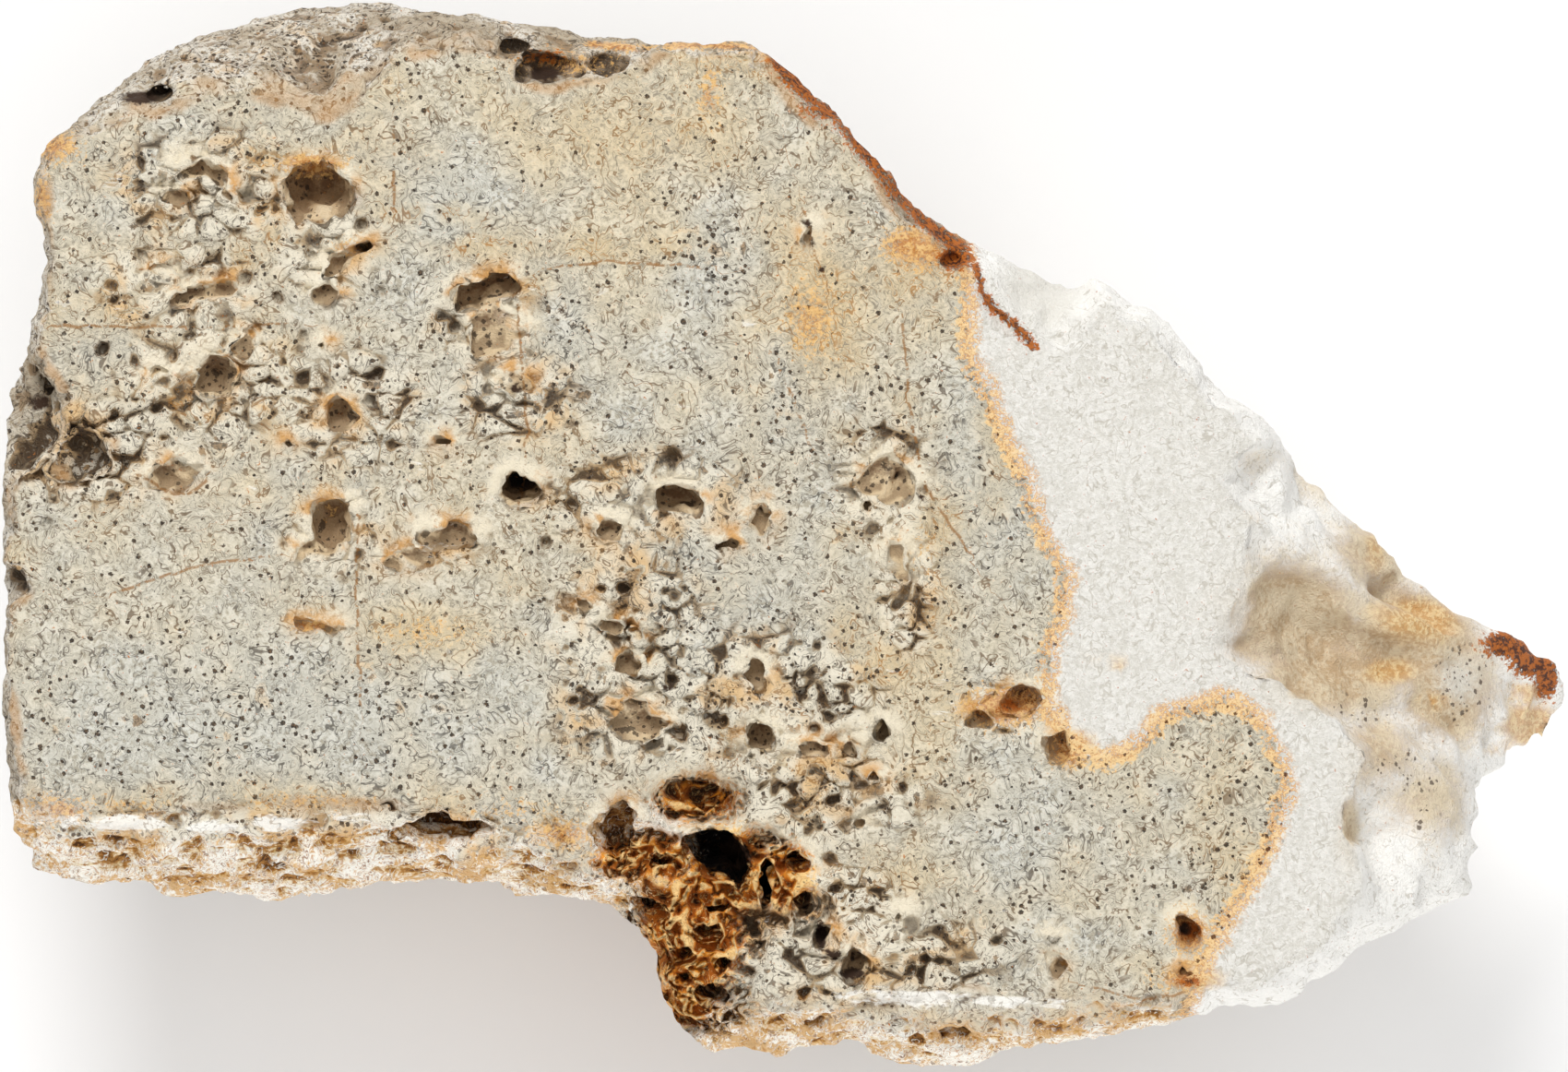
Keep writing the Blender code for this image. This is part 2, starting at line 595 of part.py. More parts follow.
def cup_corner(centre, corner, level, width, depth, lean, dice):
    """One corner of a cup's ring. The ring above the cut has the mouth's own shape."""
    if level == 0:
        return Vector((corner.x, corner.y, TOP + CUTTER_OVER))
    plan = centre + (corner - centre) * width * dice.uniform(*CUP_ROUGHNESS) + lean * level * depth
    return Vector((plan.x, plan.y, TOP - depth * level * dice.uniform(*FLOOR_ROUGHNESS)))


def hollow_mesh(mouth, depth, lean, dice):
    """A rough cup with the given mouth: a little wider just below the cut, and narrowing to its floor."""
    mesh = bmesh.new()
    centre = sum(mouth, Vector((0, 0))) / len(mouth)
    rings = []
    for level, width in SHALLOW_CUP if depth < SHALLOW else DEEP_CUP:
        corners = [cup_corner(centre, corner, level, width, depth, lean, dice) for corner in mouth]
        rings.append([mesh.verts.new(corner * MM) for corner in corners])
    for upper, lower in zip(rings, rings[1:]):
        for a in range(len(mouth)):
            b = (a + 1) % len(mouth)
            mesh.faces.new((upper[a], lower[a], lower[b], upper[b]))
    mesh.faces.new(rings[0])
    mesh.faces.new(list(reversed(rings[-1])))
    bmesh.ops.recalc_face_normals(mesh, faces=mesh.faces[:])
    return mesh


def oval_mouth(x, y, long_half, short_half, turn, dice):
    """An uneven oval, with more corners the larger it is."""
    count = 5 + min(5, round(long_half * 1.25))
    turn = math.radians(turn)
    mouth = []
    for index in range(count):
        angle = 2 * math.pi * (index + dice.uniform(-CORNER_SHIFT, CORNER_SHIFT)) / count
        corner = Vector((long_half * math.cos(angle), short_half * math.sin(angle)))
        corner.rotate(Matrix.Rotation(turn, 2))
        mouth.append(Vector((x, y)) + corner * dice.uniform(*MOUTH_ROUGHNESS))
    return mouth


def direction_out(turn, rise):
    """The way out of the stone at a turn from +X and a rise, both in degrees."""
    turn, rise = math.radians(turn), math.radians(rise)
    return Vector((math.cos(turn) * math.cos(rise), math.sin(turn) * math.cos(rise), math.sin(rise)))


def slab_mesh(surface, x, y, height, turn_out, rise, length, width, turn):
    """A leaning slab that bites into the surface with one flat face, as calcite splits."""
    out = direction_out(turn_out, rise)
    on_face = surface.ray_cast(Vector((x, y, height)) + out * PLAN_LENGTH, -out)[0]
    mesh = bmesh.new()
    bmesh.ops.create_cube(mesh, size=1.0)
    for vert in mesh.verts:
        leaned = vert.co.x + SLAB_SKEW * (vert.co.y + vert.co.z)
        vert.co = Vector((leaned * length, vert.co.y * width, vert.co.z * SLAB_HEIGHT))
    upright = out.to_track_quat("Z", "Y").to_matrix().to_4x4()
    turned = upright @ Matrix.Rotation(math.radians(turn), 4, "Z")
    place = Matrix.Translation(on_face + out * (SLAB_HEIGHT / 2 - SPLIT_BITE)) @ turned
    bmesh.ops.transform(mesh, matrix=Matrix.Scale(MM, 4) @ place, verts=mesh.verts[:])
    return mesh


def split_slabs(stone):
    """The slabs that have split off, each laid on the surface of the stone as it was before."""
    stone.verts.index_update()
    points = [vert.co / MM for vert in stone.verts]
    faces = [[vert.index for vert in face.verts] for face in stone.faces]
    surface = BVHTree.FromPolygons(points, faces)
    return [slab_mesh(surface, *numbers) for numbers in SPLITS]


def hidden_group(name, meshes, move, materials, slot):
    """Cutters in a collection of their own, kept out of the model. Their cuts get the slot's material."""
    group = bpy.data.collections.new(name)
    bpy.context.scene.collection.children.link(group)
    for number, mesh in enumerate(meshes):
        helper = object_from(mesh, f"{name}_{number:02d}", group)
        for material in materials:
            helper.data.materials.append(material)
        for face in helper.data.polygons:
            face.material_index = slot
        helper.location = move
        helper.hide_render = True
        helper.display_type = "WIRE"
    return group


def hollow_cups():
    """A cutter's mesh for each vug, cell and rim hollow."""
    dice = random.Random(HOLLOW_SEED)
    cups = []
    for x, y, long_half, short_half, depth, turn in VUGS + RIM_HOLLOWS + HONEYCOMB:
        lean = Vector((dice.uniform(-REACH_ASIDE, REACH_ASIDE), REACH_BACK))
        mouth = oval_mouth(x, y, long_half, short_half, turn, dice)
        cups.append(hollow_mesh(mouth, depth, lean, dice))
    hole = [Vector(corner) for corner in HOLE_MOUTH]
    cups.append(hollow_mesh(hole, HOLE_DEPTH, Vector((0.0, HOLE_REACH_BACK)), dice))
    return cups


def colour_faces(item, materials):
    """Limestone everywhere but on the calcite at the right end."""
    for material in materials:
        item.data.materials.append(material)
    for face in item.data.polygons:
        face.material_index = int(face.center.x > CALCITE_START * MM and len(face.vertices) < 9)


def cut_with(item, group):
    modifier = item.modifiers.new(group.name, "BOOLEAN")
    modifier.operation = "DIFFERENCE"
    modifier.solver = "EXACT"
    modifier.operand_type = "COLLECTION"
    modifier.collection = group


def build():
    clear_scene()
    limestone = stone_material("limestone", (0.56, 0.50, 0.40), 0.85)
    calcite = stone_material("calcite", (0.80, 0.78, 0.73), 0.45)
    materials = [limestone, calcite]
    mesh = stone_shell()
    flatten_spot(mesh)
    slabs = split_slabs(mesh)
    move = centre_plan(mesh)
    stone = object_from(mesh, "limestone_chunk", bpy.context.scene.collection)
    colour_faces(stone, materials)
    cut_with(stone, hidden_group("slabs", slabs, move, materials, 1))
    cut_with(stone, hidden_group("hollows", hollow_cups(), move, materials, 0))


build()
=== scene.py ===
import math
import random

import bpy
import numpy as np
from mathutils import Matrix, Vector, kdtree
from mathutils.bvhtree import BVHTree


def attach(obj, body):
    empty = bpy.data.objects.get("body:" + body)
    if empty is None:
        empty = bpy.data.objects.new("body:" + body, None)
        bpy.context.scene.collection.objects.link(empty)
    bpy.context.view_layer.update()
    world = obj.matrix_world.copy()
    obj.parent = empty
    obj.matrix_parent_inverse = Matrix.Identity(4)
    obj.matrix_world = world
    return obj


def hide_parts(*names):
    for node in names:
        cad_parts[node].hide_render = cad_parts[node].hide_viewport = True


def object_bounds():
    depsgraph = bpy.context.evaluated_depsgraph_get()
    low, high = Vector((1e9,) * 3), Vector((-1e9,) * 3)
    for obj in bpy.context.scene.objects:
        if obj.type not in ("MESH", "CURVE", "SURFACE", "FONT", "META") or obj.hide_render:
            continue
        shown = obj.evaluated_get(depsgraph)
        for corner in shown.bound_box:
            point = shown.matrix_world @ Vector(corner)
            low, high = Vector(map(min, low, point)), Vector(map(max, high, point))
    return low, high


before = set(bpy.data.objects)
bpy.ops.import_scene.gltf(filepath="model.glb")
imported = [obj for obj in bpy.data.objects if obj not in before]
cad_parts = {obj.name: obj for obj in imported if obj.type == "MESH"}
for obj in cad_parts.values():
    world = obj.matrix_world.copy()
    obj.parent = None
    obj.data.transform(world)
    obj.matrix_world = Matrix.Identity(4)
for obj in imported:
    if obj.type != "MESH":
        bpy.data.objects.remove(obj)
cad_box = [list(corner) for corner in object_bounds()]


# The stone's form. One natural piece of vuggy limestone with white calcite grown on its right
# end, sawn flat on the side that faces up. The CAD solid gives its form, and a fine even net is
# laid over it here, so that weathering, pits and crust can be worked into the surface.
NET = 0.0003
TOP = cad_box[1][2]
LEVEL_WITHIN = 0.00012
EVENING_SHARE, EVENING_ROUNDS = 0.5, 9
ASKEW = np.array([[0.6337, 0.5412, 0.5527], [-0.7219, 0.6616, 0.1800], [-0.2682, -0.5131, 0.8136]])

form = bpy.data.objects.new("stone_form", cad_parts["limestone_chunk"].data.copy())
bpy.context.scene.collection.objects.link(form)
netting = form.modifiers.new("net", "REMESH")
netting.mode = "VOXEL"
netting.voxel_size = NET
netting.adaptivity = 0.0
skin = bpy.data.meshes.new_from_object(form.evaluated_get(bpy.context.evaluated_depsgraph_get()))
bpy.data.objects.remove(form)


def points_of(mesh, what="co"):
    """The places or the normals of a mesh's points, as rows of three numbers."""
    values = np.empty(len(mesh.vertices) * 3, np.float32)
    mesh.vertices.foreach_get(what, values)
    return values.reshape(-1, 3).astype(float)


def put_points(mesh, points):
    """Moves a mesh's points to new places."""
    mesh.vertices.foreach_set("co", points.astype(np.float32).ravel())
    mesh.update()


def ends_of(mesh):
    """The two point numbers of each edge."""
    ends = np.empty(len(mesh.edges) * 2, np.int32)
    mesh.edges.foreach_get("vertices", ends)
    return ends.reshape(-1, 2)


def softened(points, ends, amount, rounds):
    """Draws each point towards the middle of its neighbours, by its own amount."""
    count = np.maximum(np.bincount(ends.ravel(), minlength=len(points)), 1)[:, None]
    for _ in range(rounds):
        total = np.stack([
            np.bincount(ends[:, 0], points[ends[:, 1], k], len(points))
            + np.bincount(ends[:, 1], points[ends[:, 0], k], len(points)) for k in range(3)], 1)
        points = points + amount * (total / count - points)
    return points


def jumbled(cell):
    """Three repeatable chance numbers from 0 to 255 for each cell of a net."""
    mixed = cell[:, 0] * 73856093 ^ cell[:, 1] * 19349663 ^ cell[:, 2] * 83492791
    mixed = (mixed ^ mixed >> 13) * 1274126177 & 0xFFFFFFFF
    mixed = (mixed ^ mixed >> 15) * 2246822519 & 0xFFFFFFFF
    return np.stack([mixed >> k & 255 for k in (0, 8, 16)], 1)


def noise(points, size, place=0):
    """Seeded smooth noise from about -1 to 1, in lumps of that size, its net askew to the saw cut."""
    spot = points @ ASKEW / size + place * 17.31
    cell = np.floor(spot)
    inside = spot - cell
    cell = cell.astype(np.int64)
    ease = inside ** 3 * (inside * (inside * 6 - 15) + 10)
    total = np.zeros(len(points))
    for corner in range(8):
        step = np.array([corner & 1, corner >> 1 & 1, corner >> 2])
        lean = jumbled(cell + step) / 127.5 - 1
        share = np.prod(np.where(step == 1, ease, 1 - ease), axis=1)
        total += share * ((inside - step) * lean).sum(1)
    return total * 1.4


def noises(points, *layers):
    """Noises added up, each with its height, lump size and place."""
    total = np.zeros(len(points))
    for height, size, place in layers:
        total += height * noise(points, size, place)
    return total


def wander(points, far, size, place):
    """A smooth offset in all three directions."""
    return np.stack([noise(points, size, place + k) for k in range(3)], 1) * far


def cells(points, size, place):
    """How far the nearest and the next of seeds scattered a size apart are, in sizes."""
    spot = points @ ASKEW / size + place * 11.7
    cell = np.floor(spot).astype(np.int64)
    first = np.full(len(points), 9.0)
    second = np.full(len(points), 9.0)
    for corner in range(27):
        at = cell + np.array([corner % 3 - 1, corner // 3 % 3 - 1, corner // 9 - 1])
        away = np.sqrt(((spot - (at + jumbled(at) / 255)) ** 2).sum(1))
        second = np.minimum(second, np.maximum(first, away))
        first = np.minimum(first, away)
    return first, second


def rising(value, low, high):
    """0 below low, 1 above high, and a smooth rise between them."""
    share = np.clip((value - low) / (high - low), 0, 1)
    return share * share * (3 - 2 * share)


co = points_of(skin)
ends = ends_of(skin)
flat = co[:, 2] > TOP - LEVEL_WITHIN
co[flat, 2] = TOP
resting = co[:, 2] < LEVEL_WITHIN
co[resting, 2] = 0
free = (~flat & ~resting).astype(float)[:, None] * EVENING_SHARE
co = softened(co, ends, free, EVENING_ROUNDS)


# The sawn face's own map. It shows where the saw left stone, where a vug or a hollow breaks
# through it, and how far each place is from the rim and the nearest hollow. Weathering, crests
# and stains go by it. Its places are read off the picture, whose steps are 0.0875 mm here.
MAP_STEP = 1.4 * NET
MAP_LOW = np.array([-0.080, -0.056])
WIDE = int(0.160 / MAP_STEP)
HIGH = int(0.112 / MAP_STEP)
PICTURE_STEP = 0.0000875
PICTURE_MIDDLE = (857.8, 579.8)
RIM_REACH = 0.012
HOLE_REACH = 0.006


def on_map(points):
    """The map square that each point lies over."""
    square = ((points[:, :2] - MAP_LOW) / MAP_STEP).astype(int)
    return np.clip(square[:, 0], 0, WIDE - 1), np.clip(square[:, 1], 0, HIGH - 1)


sawn = np.zeros((WIDE, HIGH), bool)
sawn[on_map(co[flat])] = True
outer = np.zeros_like(sawn)
outer[0, :] = outer[-1, :] = outer[:, 0] = outer[:, -1] = True
while True:
    wider = outer.copy()
    wider[1:] |= outer[:-1]
    wider[:-1] |= outer[1:]
    wider[:, 1:] |= outer[:, :-1]
    wider[:, :-1] |= outer[:, 1:]
    wider &= ~sawn
    if (wider == outer).all():
        break
    outer = wider
holes = ~sawn & ~outer


def distance_map(marked, inside, most):
    """How far each inside square is from the nearest marked one, up to most."""
    edge = marked.copy()
    edge[1:-1, 1:-1] &= ~(marked[2:, 1:-1] & marked[:-2, 1:-1] & marked[1:-1, 2:] & marked[1:-1, :-2])
    tree = kdtree.KDTree(int(edge.sum()))
    for number, (i, j) in enumerate(zip(*np.nonzero(edge))):
        tree.insert((i, j, 0), number)
    tree.balance()
    away = np.where(marked, 0.0, most)
    for i, j in zip(*np.nonzero(inside & ~marked)):
        away[i, j] = min(most, tree.find((i, j, 0))[2] * MAP_STEP)
    return away


rim_map = distance_map(outer, sawn | holes, RIM_REACH)
hole_map = distance_map(holes, sawn, HOLE_REACH)
hole_inner_map = distance_map(~holes, holes, HOLE_REACH)


def read_map(values, points):
    """A map's value over each point, even between its squares."""
    spot = (points[:, :2] - MAP_LOW) / MAP_STEP - 0.5
    spot = np.clip(spot, 0, [WIDE - 2.001, HIGH - 2.001])
    low = spot.astype(int)
    part = spot - low
    i, j = low[:, 0], low[:, 1]
    near = values[i, j] * (1 - part[:, 0]) + values[i + 1, j] * part[:, 0]
    far = values[i, j + 1] * (1 - part[:, 0]) + values[i + 1, j + 1] * part[:, 0]
    return near * (1 - part[:, 1]) + far * part[:, 1]


def face_place(x, y):
    """A place on the sawn face, from the picture's own steps."""
    return np.array([(x - PICTURE_MIDDLE[0]) * PICTURE_STEP, (PICTURE_MIDDLE[1] - y) * PICTURE_STEP])


def patches(points, table):
    """How strongly each point lies in soft-edged oval patches: x, y, half sizes, strength."""
    total = np.zeros(len(points))
    for x, y, wide, high, strength in table:
        away = (points[:, :2] - face_place(x, y)) / (np.array([wide, high]) * PICTURE_STEP)
        total = np.maximum(total, strength * np.exp(-(away ** 2).sum(1) * 1.2))
    return total


def side_of_line(points, line):
    """Signed distance from a line of places: positive on its left as it is followed."""
    best = np.full(len(points), 9.0)
    side = np.zeros(len(points))
    for a, b in zip(line[:-1], line[1:]):
        a, b = face_place(*a), face_place(*b)
        along = b - a
        offset = points[:, :2] - a
        share = np.clip(offset @ along / (along @ along), 0, 1)
        away = np.sqrt(((offset - share[:, None] * along) ** 2).sum(1))
        turned = along[0] * offset[:, 1] - along[1] * offset[:, 0]
        nearer = away < best
        best = np.where(nearer, away, best)
        side = np.where(nearer, np.sign(turned), side)
    return best * side


# The weathered skin. The rim, sides and back are the stone's natural outside: lumps, grains and
# small pits in the limestone, softer swells in the calcite, and a crumbly bank along the near
# rim. Everything leans a little off true, vug mouths too.

# The contact is where limestone ends and calcite begins, from the rim at the top down.
CONTACT = [(1040, 150), (1048, 300), (1046, 345), (1050, 390), (1070, 425), (1086, 475), (1112, 525),
           (1126, 572), (1156, 622), (1152, 660), (1136, 702), (1134, 768), (1160, 806), (1196, 828),
           (1232, 812), (1266, 776), (1328, 757), (1370, 787), (1396, 850), (1370, 930), (1330, 992),
           (1294, 1060), (1286, 1120), (1286, 1400)]
BANK_RELIEF = [(60, 905, 120, 60, 1), (180, 925, 130, 55, 1), (330, 940, 130, 50, 1),
               (480, 915, 120, 60, 1), (600, 940, 120, 50, 1), (690, 930, 60, 60, 1),
               (1000, 1110, 110, 55, 1), (1150, 1105, 130, 50, 1), (850, 1110, 100, 50, 1),
               (20, 420, 50, 60, 1), (80, 500, 50, 30, 0.8)]
COMB_RELIEF = [(755, 1000, 80, 90, 1), (700, 930, 60, 34, 1), (830, 955, 46, 56, 1),
               (760, 1085, 60, 40, 0.9), (755, 868, 56, 34, 0.8), (870, 985, 40, 40, 0.5)]
PIT_DEPTH = 0.00075
VUG_DEEPEST = 0.024

lime = 1 - rising(side_of_line(co, CONTACT), -0.001, 0.001)
lean = wander(co, 0.00042, 0.0032, 1) + wander(co, 0.00024, 0.0012, 4)
by_vug = rising(0.003 - read_map(hole_map, co), 0, 0.003) * (co[:, 2] > TOP - 0.025)
lean *= (0.35 + 0.65 * lime + 0.8 * by_vug)[:, None]
lean[flat | resting, 2] = 0
co = co + lean
put_points(skin, co)
normal = points_of(skin, "normal")

below = TOP - co[:, 2]
rim = read_map(rim_map, co)
in_vug = (read_map(holes.astype(float), co) > 0.5) & (below < VUG_DEEPEST) & ~flat
side = ~flat & ~in_vug
bank = patches(co, BANK_RELIEF) * side
comb = patches(co, COMB_RELIEF)

work = noises(co, (0.00045, 0.0042, 21), (0.00030, 0.0018, 22), (0.00016, 0.0009, 23))
first, second = cells(co, 0.0021, 3)
work += PIT_DEPTH * rising(0.42 - first, 0, 0.4) * rising(noise(co, 0.006, 24), -0.2, 0.3)
swell = noises(co, (0.00040, 0.0060, 25), (0.00010, 0.0016, 26))
ledges = noise(co * np.array([0.35, 1, 1.6]), 0.0022, 29)
knots = np.maximum(0, noise(co, 0.0026, 39)) ** 1.5
crumbs = (0.0005 * rising(second - first, 0.05, 0.4) + 0.0010 * ledges + 0.0012 * knots
          + 0.0009 * noise(co, 0.0050, 38) - 0.0003)
folds = np.abs(noise(co, 0.0052, 36)) * 0.0015 + np.abs(noise(co, 0.0024, 37)) * 0.0006 - 0.0005
depth = side * (lime * work + (1 - lime) * swell)
depth = depth + side * bank * crumbs
depth = depth + side * (1 - lime) * folds
depth = depth + in_vug * noises(co, (0.00055, 0.0030, 27), (0.00034, 0.0013, 28))
depth[resting] = 0
co = co + normal * (-depth)[:, None]


# The honeycomb corner. Iron-stained walls, thin and crooked, stand between hollows that weather
# has eaten two millimetres and more into the near rim.
WALLS = ((0.0044, 0.07, 5), (0.0034, 0.08, 6), (0.0027, 0.09, 8), (0.0018, 0.11, 7))
CUP_DEPTH = 0.0019

near = comb > 0.12
spots = co[near] + wander(co[near], 0.0024, 0.0050, 30)
squeezed = spots * np.array([1, 1, 0.5])
wall = np.zeros(len(spots))
for size, wide, number in WALLS:
    wall = np.maximum(wall, 1 - np.abs(noise(squeezed, size, number)) / wide)
cup = 1 - rising(wall, 0, 0.8)
broken = np.maximum(0, 0.35 + noise(spots, 0.0060, 34)) * 0.0030 + np.abs(noise(spots, 0.0022, 35)) * 0.0010
co[near, 2] -= rising(comb[near], 0.12, 0.55) * (cup * CUP_DEPTH + broken)


# Rough patches and small pits on the sawn face. Where the stone was crumbly, the saw plucked it:
# low lumps, cracks and dimples half a millimetre to two deep, with small round pits among them.
# A shallow dish lies beside the upper end of the contact.
ROUGH = [(230, 200, 110, 60, 1), (190, 310, 90, 50, 1), (350, 270, 60, 60, 0.8), (520, 340, 70, 60, 0.8),
         (230, 410, 110, 70, 0.9), (380, 440, 90, 70, 0.8), (560, 430, 80, 60, 0.7), (100, 490, 90, 60, 1),
         (360, 580, 80, 60, 0.6), (480, 590, 80, 40, 0.5), (700, 540, 150, 70, 0.6),
         (680, 680, 90, 100, 0.9), (700, 770, 100, 60, 1), (830, 770, 130, 90, 1), (960, 520, 60, 80, 0.8),
         (985, 640, 40, 80, 0.8), (790, 960, 150, 120, 0.8), (900, 1010, 90, 80, 1),
         (1090, 765, 60, 40, 0.8), (320, 905, 330, 30, 0.9), (1000, 1040, 130, 60, 0.6),
         (900, 860, 120, 60, 0.8)]
DISH = [(1122, 318, 66, 62, 1)]
PLUCK_DEPTH = 0.0023
DIMPLE_DEPTH = 0.0008
CRACK_DEPTH = 0.0009
DISH_DEPTH = 0.0007
WORN_EDGE = 0.0011
STRAY_PITS = 140
PATCH_PER_PIT = 320

pocked = patches(co, ROUGH)
tilted = co * np.array([1.0, 1.5, 1.0]) + wander(co, 0.0016, 0.006, 60)
lumps = 0.85 * noise(tilted, 0.0046, 41) + 0.50 * noise(co, 0.0021, 42) + 0.24 * noise(co, 0.0009, 43)
first, second = cells(tilted, 0.0030, 7)
knob = rising(second - first, 0.0, 0.5)
crack = (1 - rising(second - first, 0.03, 0.20)) * rising(noise(co, 0.005, 49), -0.3, 0.2)
first, second = cells(co, 0.0012, 9)
dimple = rising(0.40 - first, 0.0, 0.25) * rising(noise(co, 0.003, 48), 0.0, 0.4)
plucked = pocked * np.maximum(0, PLUCK_DEPTH * (lumps + 0.12) - 0.0003 * knob)
plucked += np.minimum(1, 1.4 * pocked) * (dimple * DIMPLE_DEPTH + crack * CRACK_DEPTH)
plucked = plucked + DISH_DEPTH * rising(patches(co, DISH), 0.34, 0.50)
fine = 0.00005 * (noise(co, 0.0009, 45) + 1) + 0.00006 * np.maximum(0, noise(co, 0.003, 46))
sawn_down = plucked + fine
sawn_down += rising(WORN_EDGE - rim, 0, WORN_EDGE) * 0.00035 * (1 + noise(co, 0.002, 47))
co[:, 2] -= np.where(flat, sawn_down, 0)

chance = random.Random(8)
pits = []
for x, y, wide, high, strength in ROUGH:
    for _ in range(int(wide * high / PATCH_PER_PIT * strength)):
        place = face_place(x + chance.gauss(0, 0.5) * wide, y + chance.gauss(0, 0.5) * high)
        pits.append((place, 0.0003 + 0.0007 * chance.random() ** 2, chance.uniform(0.7, 1.7)))
for _ in range(STRAY_PITS):
    place = face_place(chance.uniform(20, 1400), chance.uniform(60, 1080))
    pits.append((place, chance.uniform(0.00025, 0.0005), chance.uniform(0.5, 1.2)))
face_tree = kdtree.KDTree(int(flat.sum()))
for number in np.nonzero(flat)[0]:
    face_tree.insert((co[number, 0], co[number, 1], 0), int(number))
face_tree.balance()
for place, wide, deep in pits:
    if side_of_line(np.array([[place[0], place[1]]]), CONTACT)[0] > 0:
        continue
    turn = chance.uniform(0, math.pi)
    stretch = chance.uniform(0.6, 1.0)
    for spot, number, away in face_tree.find_range((place[0], place[1], 0), wide * 1.3):
        dx, dy = spot[0] - place[0], spot[1] - place[1]
        u = dx * math.cos(turn) + dy * math.sin(turn)
        v = (dy * math.cos(turn) - dx * math.sin(turn)) / stretch
        share = math.hypot(u, v) / wide
        if share < 1:
            co[number, 2] -= wide * deep * (1 - share ** 2.5)

uneven = noise(co[resting], 0.002, 62)
co[resting, 2] = 0.00008 * (1 + uneven) * rising(-noise(co[resting], 0.004, 63), -0.3, 0.3)
box_low, box_high = np.array(cad_box[0]), np.array(cad_box[1])
put_points(skin, np.clip(co, box_low, box_high))


# The finished stone. The worked skin is thinned evenly, and a point that thinning threw off it is
# put back on it. The skin stands for the CAD solid and lies as that does.
FACES = 198000
OFF_SKIN = 0.0002

stone = bpy.data.objects.new("limestone_chunk_skin", skin)
bpy.context.scene.collection.objects.link(stone)
worked = BVHTree.FromObject(stone, bpy.context.evaluated_depsgraph_get())
thinner = stone.modifiers.new("thin", "DECIMATE")
thinner.ratio = FACES / (2 * len(skin.polygons))
thinned = bpy.data.meshes.new_from_object(stone.evaluated_get(bpy.context.evaluated_depsgraph_get()))
stone.modifiers.clear()
stone.data = thinned
for point in thinned.vertices:
    near_to, _, _, away = worked.find_nearest(point.co)
    if away > OFF_SKIN:
        point.co = near_to
put_points(thinned, np.clip(points_of(thinned), box_low, box_high))
bpy.data.meshes.remove(skin)
skin = thinned
skin.name = "limestone_chunk_skin"
skin.polygons.foreach_set("use_smooth", np.ones(len(skin.polygons), bool))
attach(stone, "root")
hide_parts("limestone_chunk")


# What each place on the stone is. Soft maps for the finish: sawn or natural, how deep in a
# hollow, how near a vug's mouth or the rim, limestone or calcite, and the patches that are
# creamier, greyer, ochre, rusty or dark.
TINT = [(885, 330, 60, 120, 0.9), (990, 290, 60, 50, 0.9), (600, 268, 170, 16, 0.7),
        (480, 232, 110, 14, 0.7), (700, 150, 170, 70, 0.5), (420, 160, 70, 40, 0.5),
        (460, 688, 100, 40, 0.4), (350, 560, 60, 50, 0.6), (250, 240, 160, 90, 0.5),
        (210, 420, 150, 90, 0.6), (1010, 600, 40, 110, 0.6), (840, 800, 150, 90, 0.6),
        (1340, 900, 90, 120, 0.2), (330, 865, 330, 26, 0.45), (940, 700, 60, 60, 0.5),
        (1080, 470, 26, 120, 0.6), (560, 340, 90, 70, 0.4), (900, 990, 130, 90, 0.6),
        (690, 620, 140, 80, 0.35), (800, 60, 120, 40, 0.6)]
LEDGE = [(70, 890, 50, 9, 1.2), (140, 893, 60, 9, 1.2), (225, 897, 60, 9, 1.2), (300, 893, 40, 10, 1),
         (390, 885, 40, 8, 0.8), (1000, 1082, 90, 10, 1.2), (1090, 1086, 60, 9, 1.2),
         (930, 1078, 40, 8, 0.9)]
CREAM = [(640, 150, 120, 60, 0.8), (700, 240, 120, 70, 0.7), (900, 330, 80, 100, 0.8),
         (560, 580, 120, 60, 0.7), (330, 190, 60, 30, 0.9), (980, 560, 60, 100, 0.9),
         (990, 780, 60, 120, 0.9), (880, 820, 100, 60, 0.7), (240, 390, 100, 50, 0.8),
         (190, 300, 100, 50, 0.6), (460, 680, 70, 30, 1), (600, 520, 80, 50, 0.6), (480, 100, 80, 40, 0.5),
         (760, 120, 60, 60, 0.8), (1320, 900, 80, 110, 0.2), (1000, 960, 60, 80, 0.6)]
GREY = [(495, 215, 75, 50, 1), (610, 350, 45, 50, 0.9), (300, 780, 320, 90, 0.8), (740, 640, 120, 180, 0.6),
        (1050, 520, 40, 90, 0.8), (150, 200, 80, 50, 0.6), (120, 380, 60, 30, 0.6), (850, 430, 40, 80, 0.5),
        (560, 415, 60, 30, 0.9), (1100, 900, 90, 120, 0.5), (768, 275, 44, 60, 0.9),
        (850, 425, 22, 60, 0.9), (1090, 560, 30, 80, 0.6), (1125, 318, 60, 60, 0.9),
        (1590, 740, 40, 40, 0.7)]
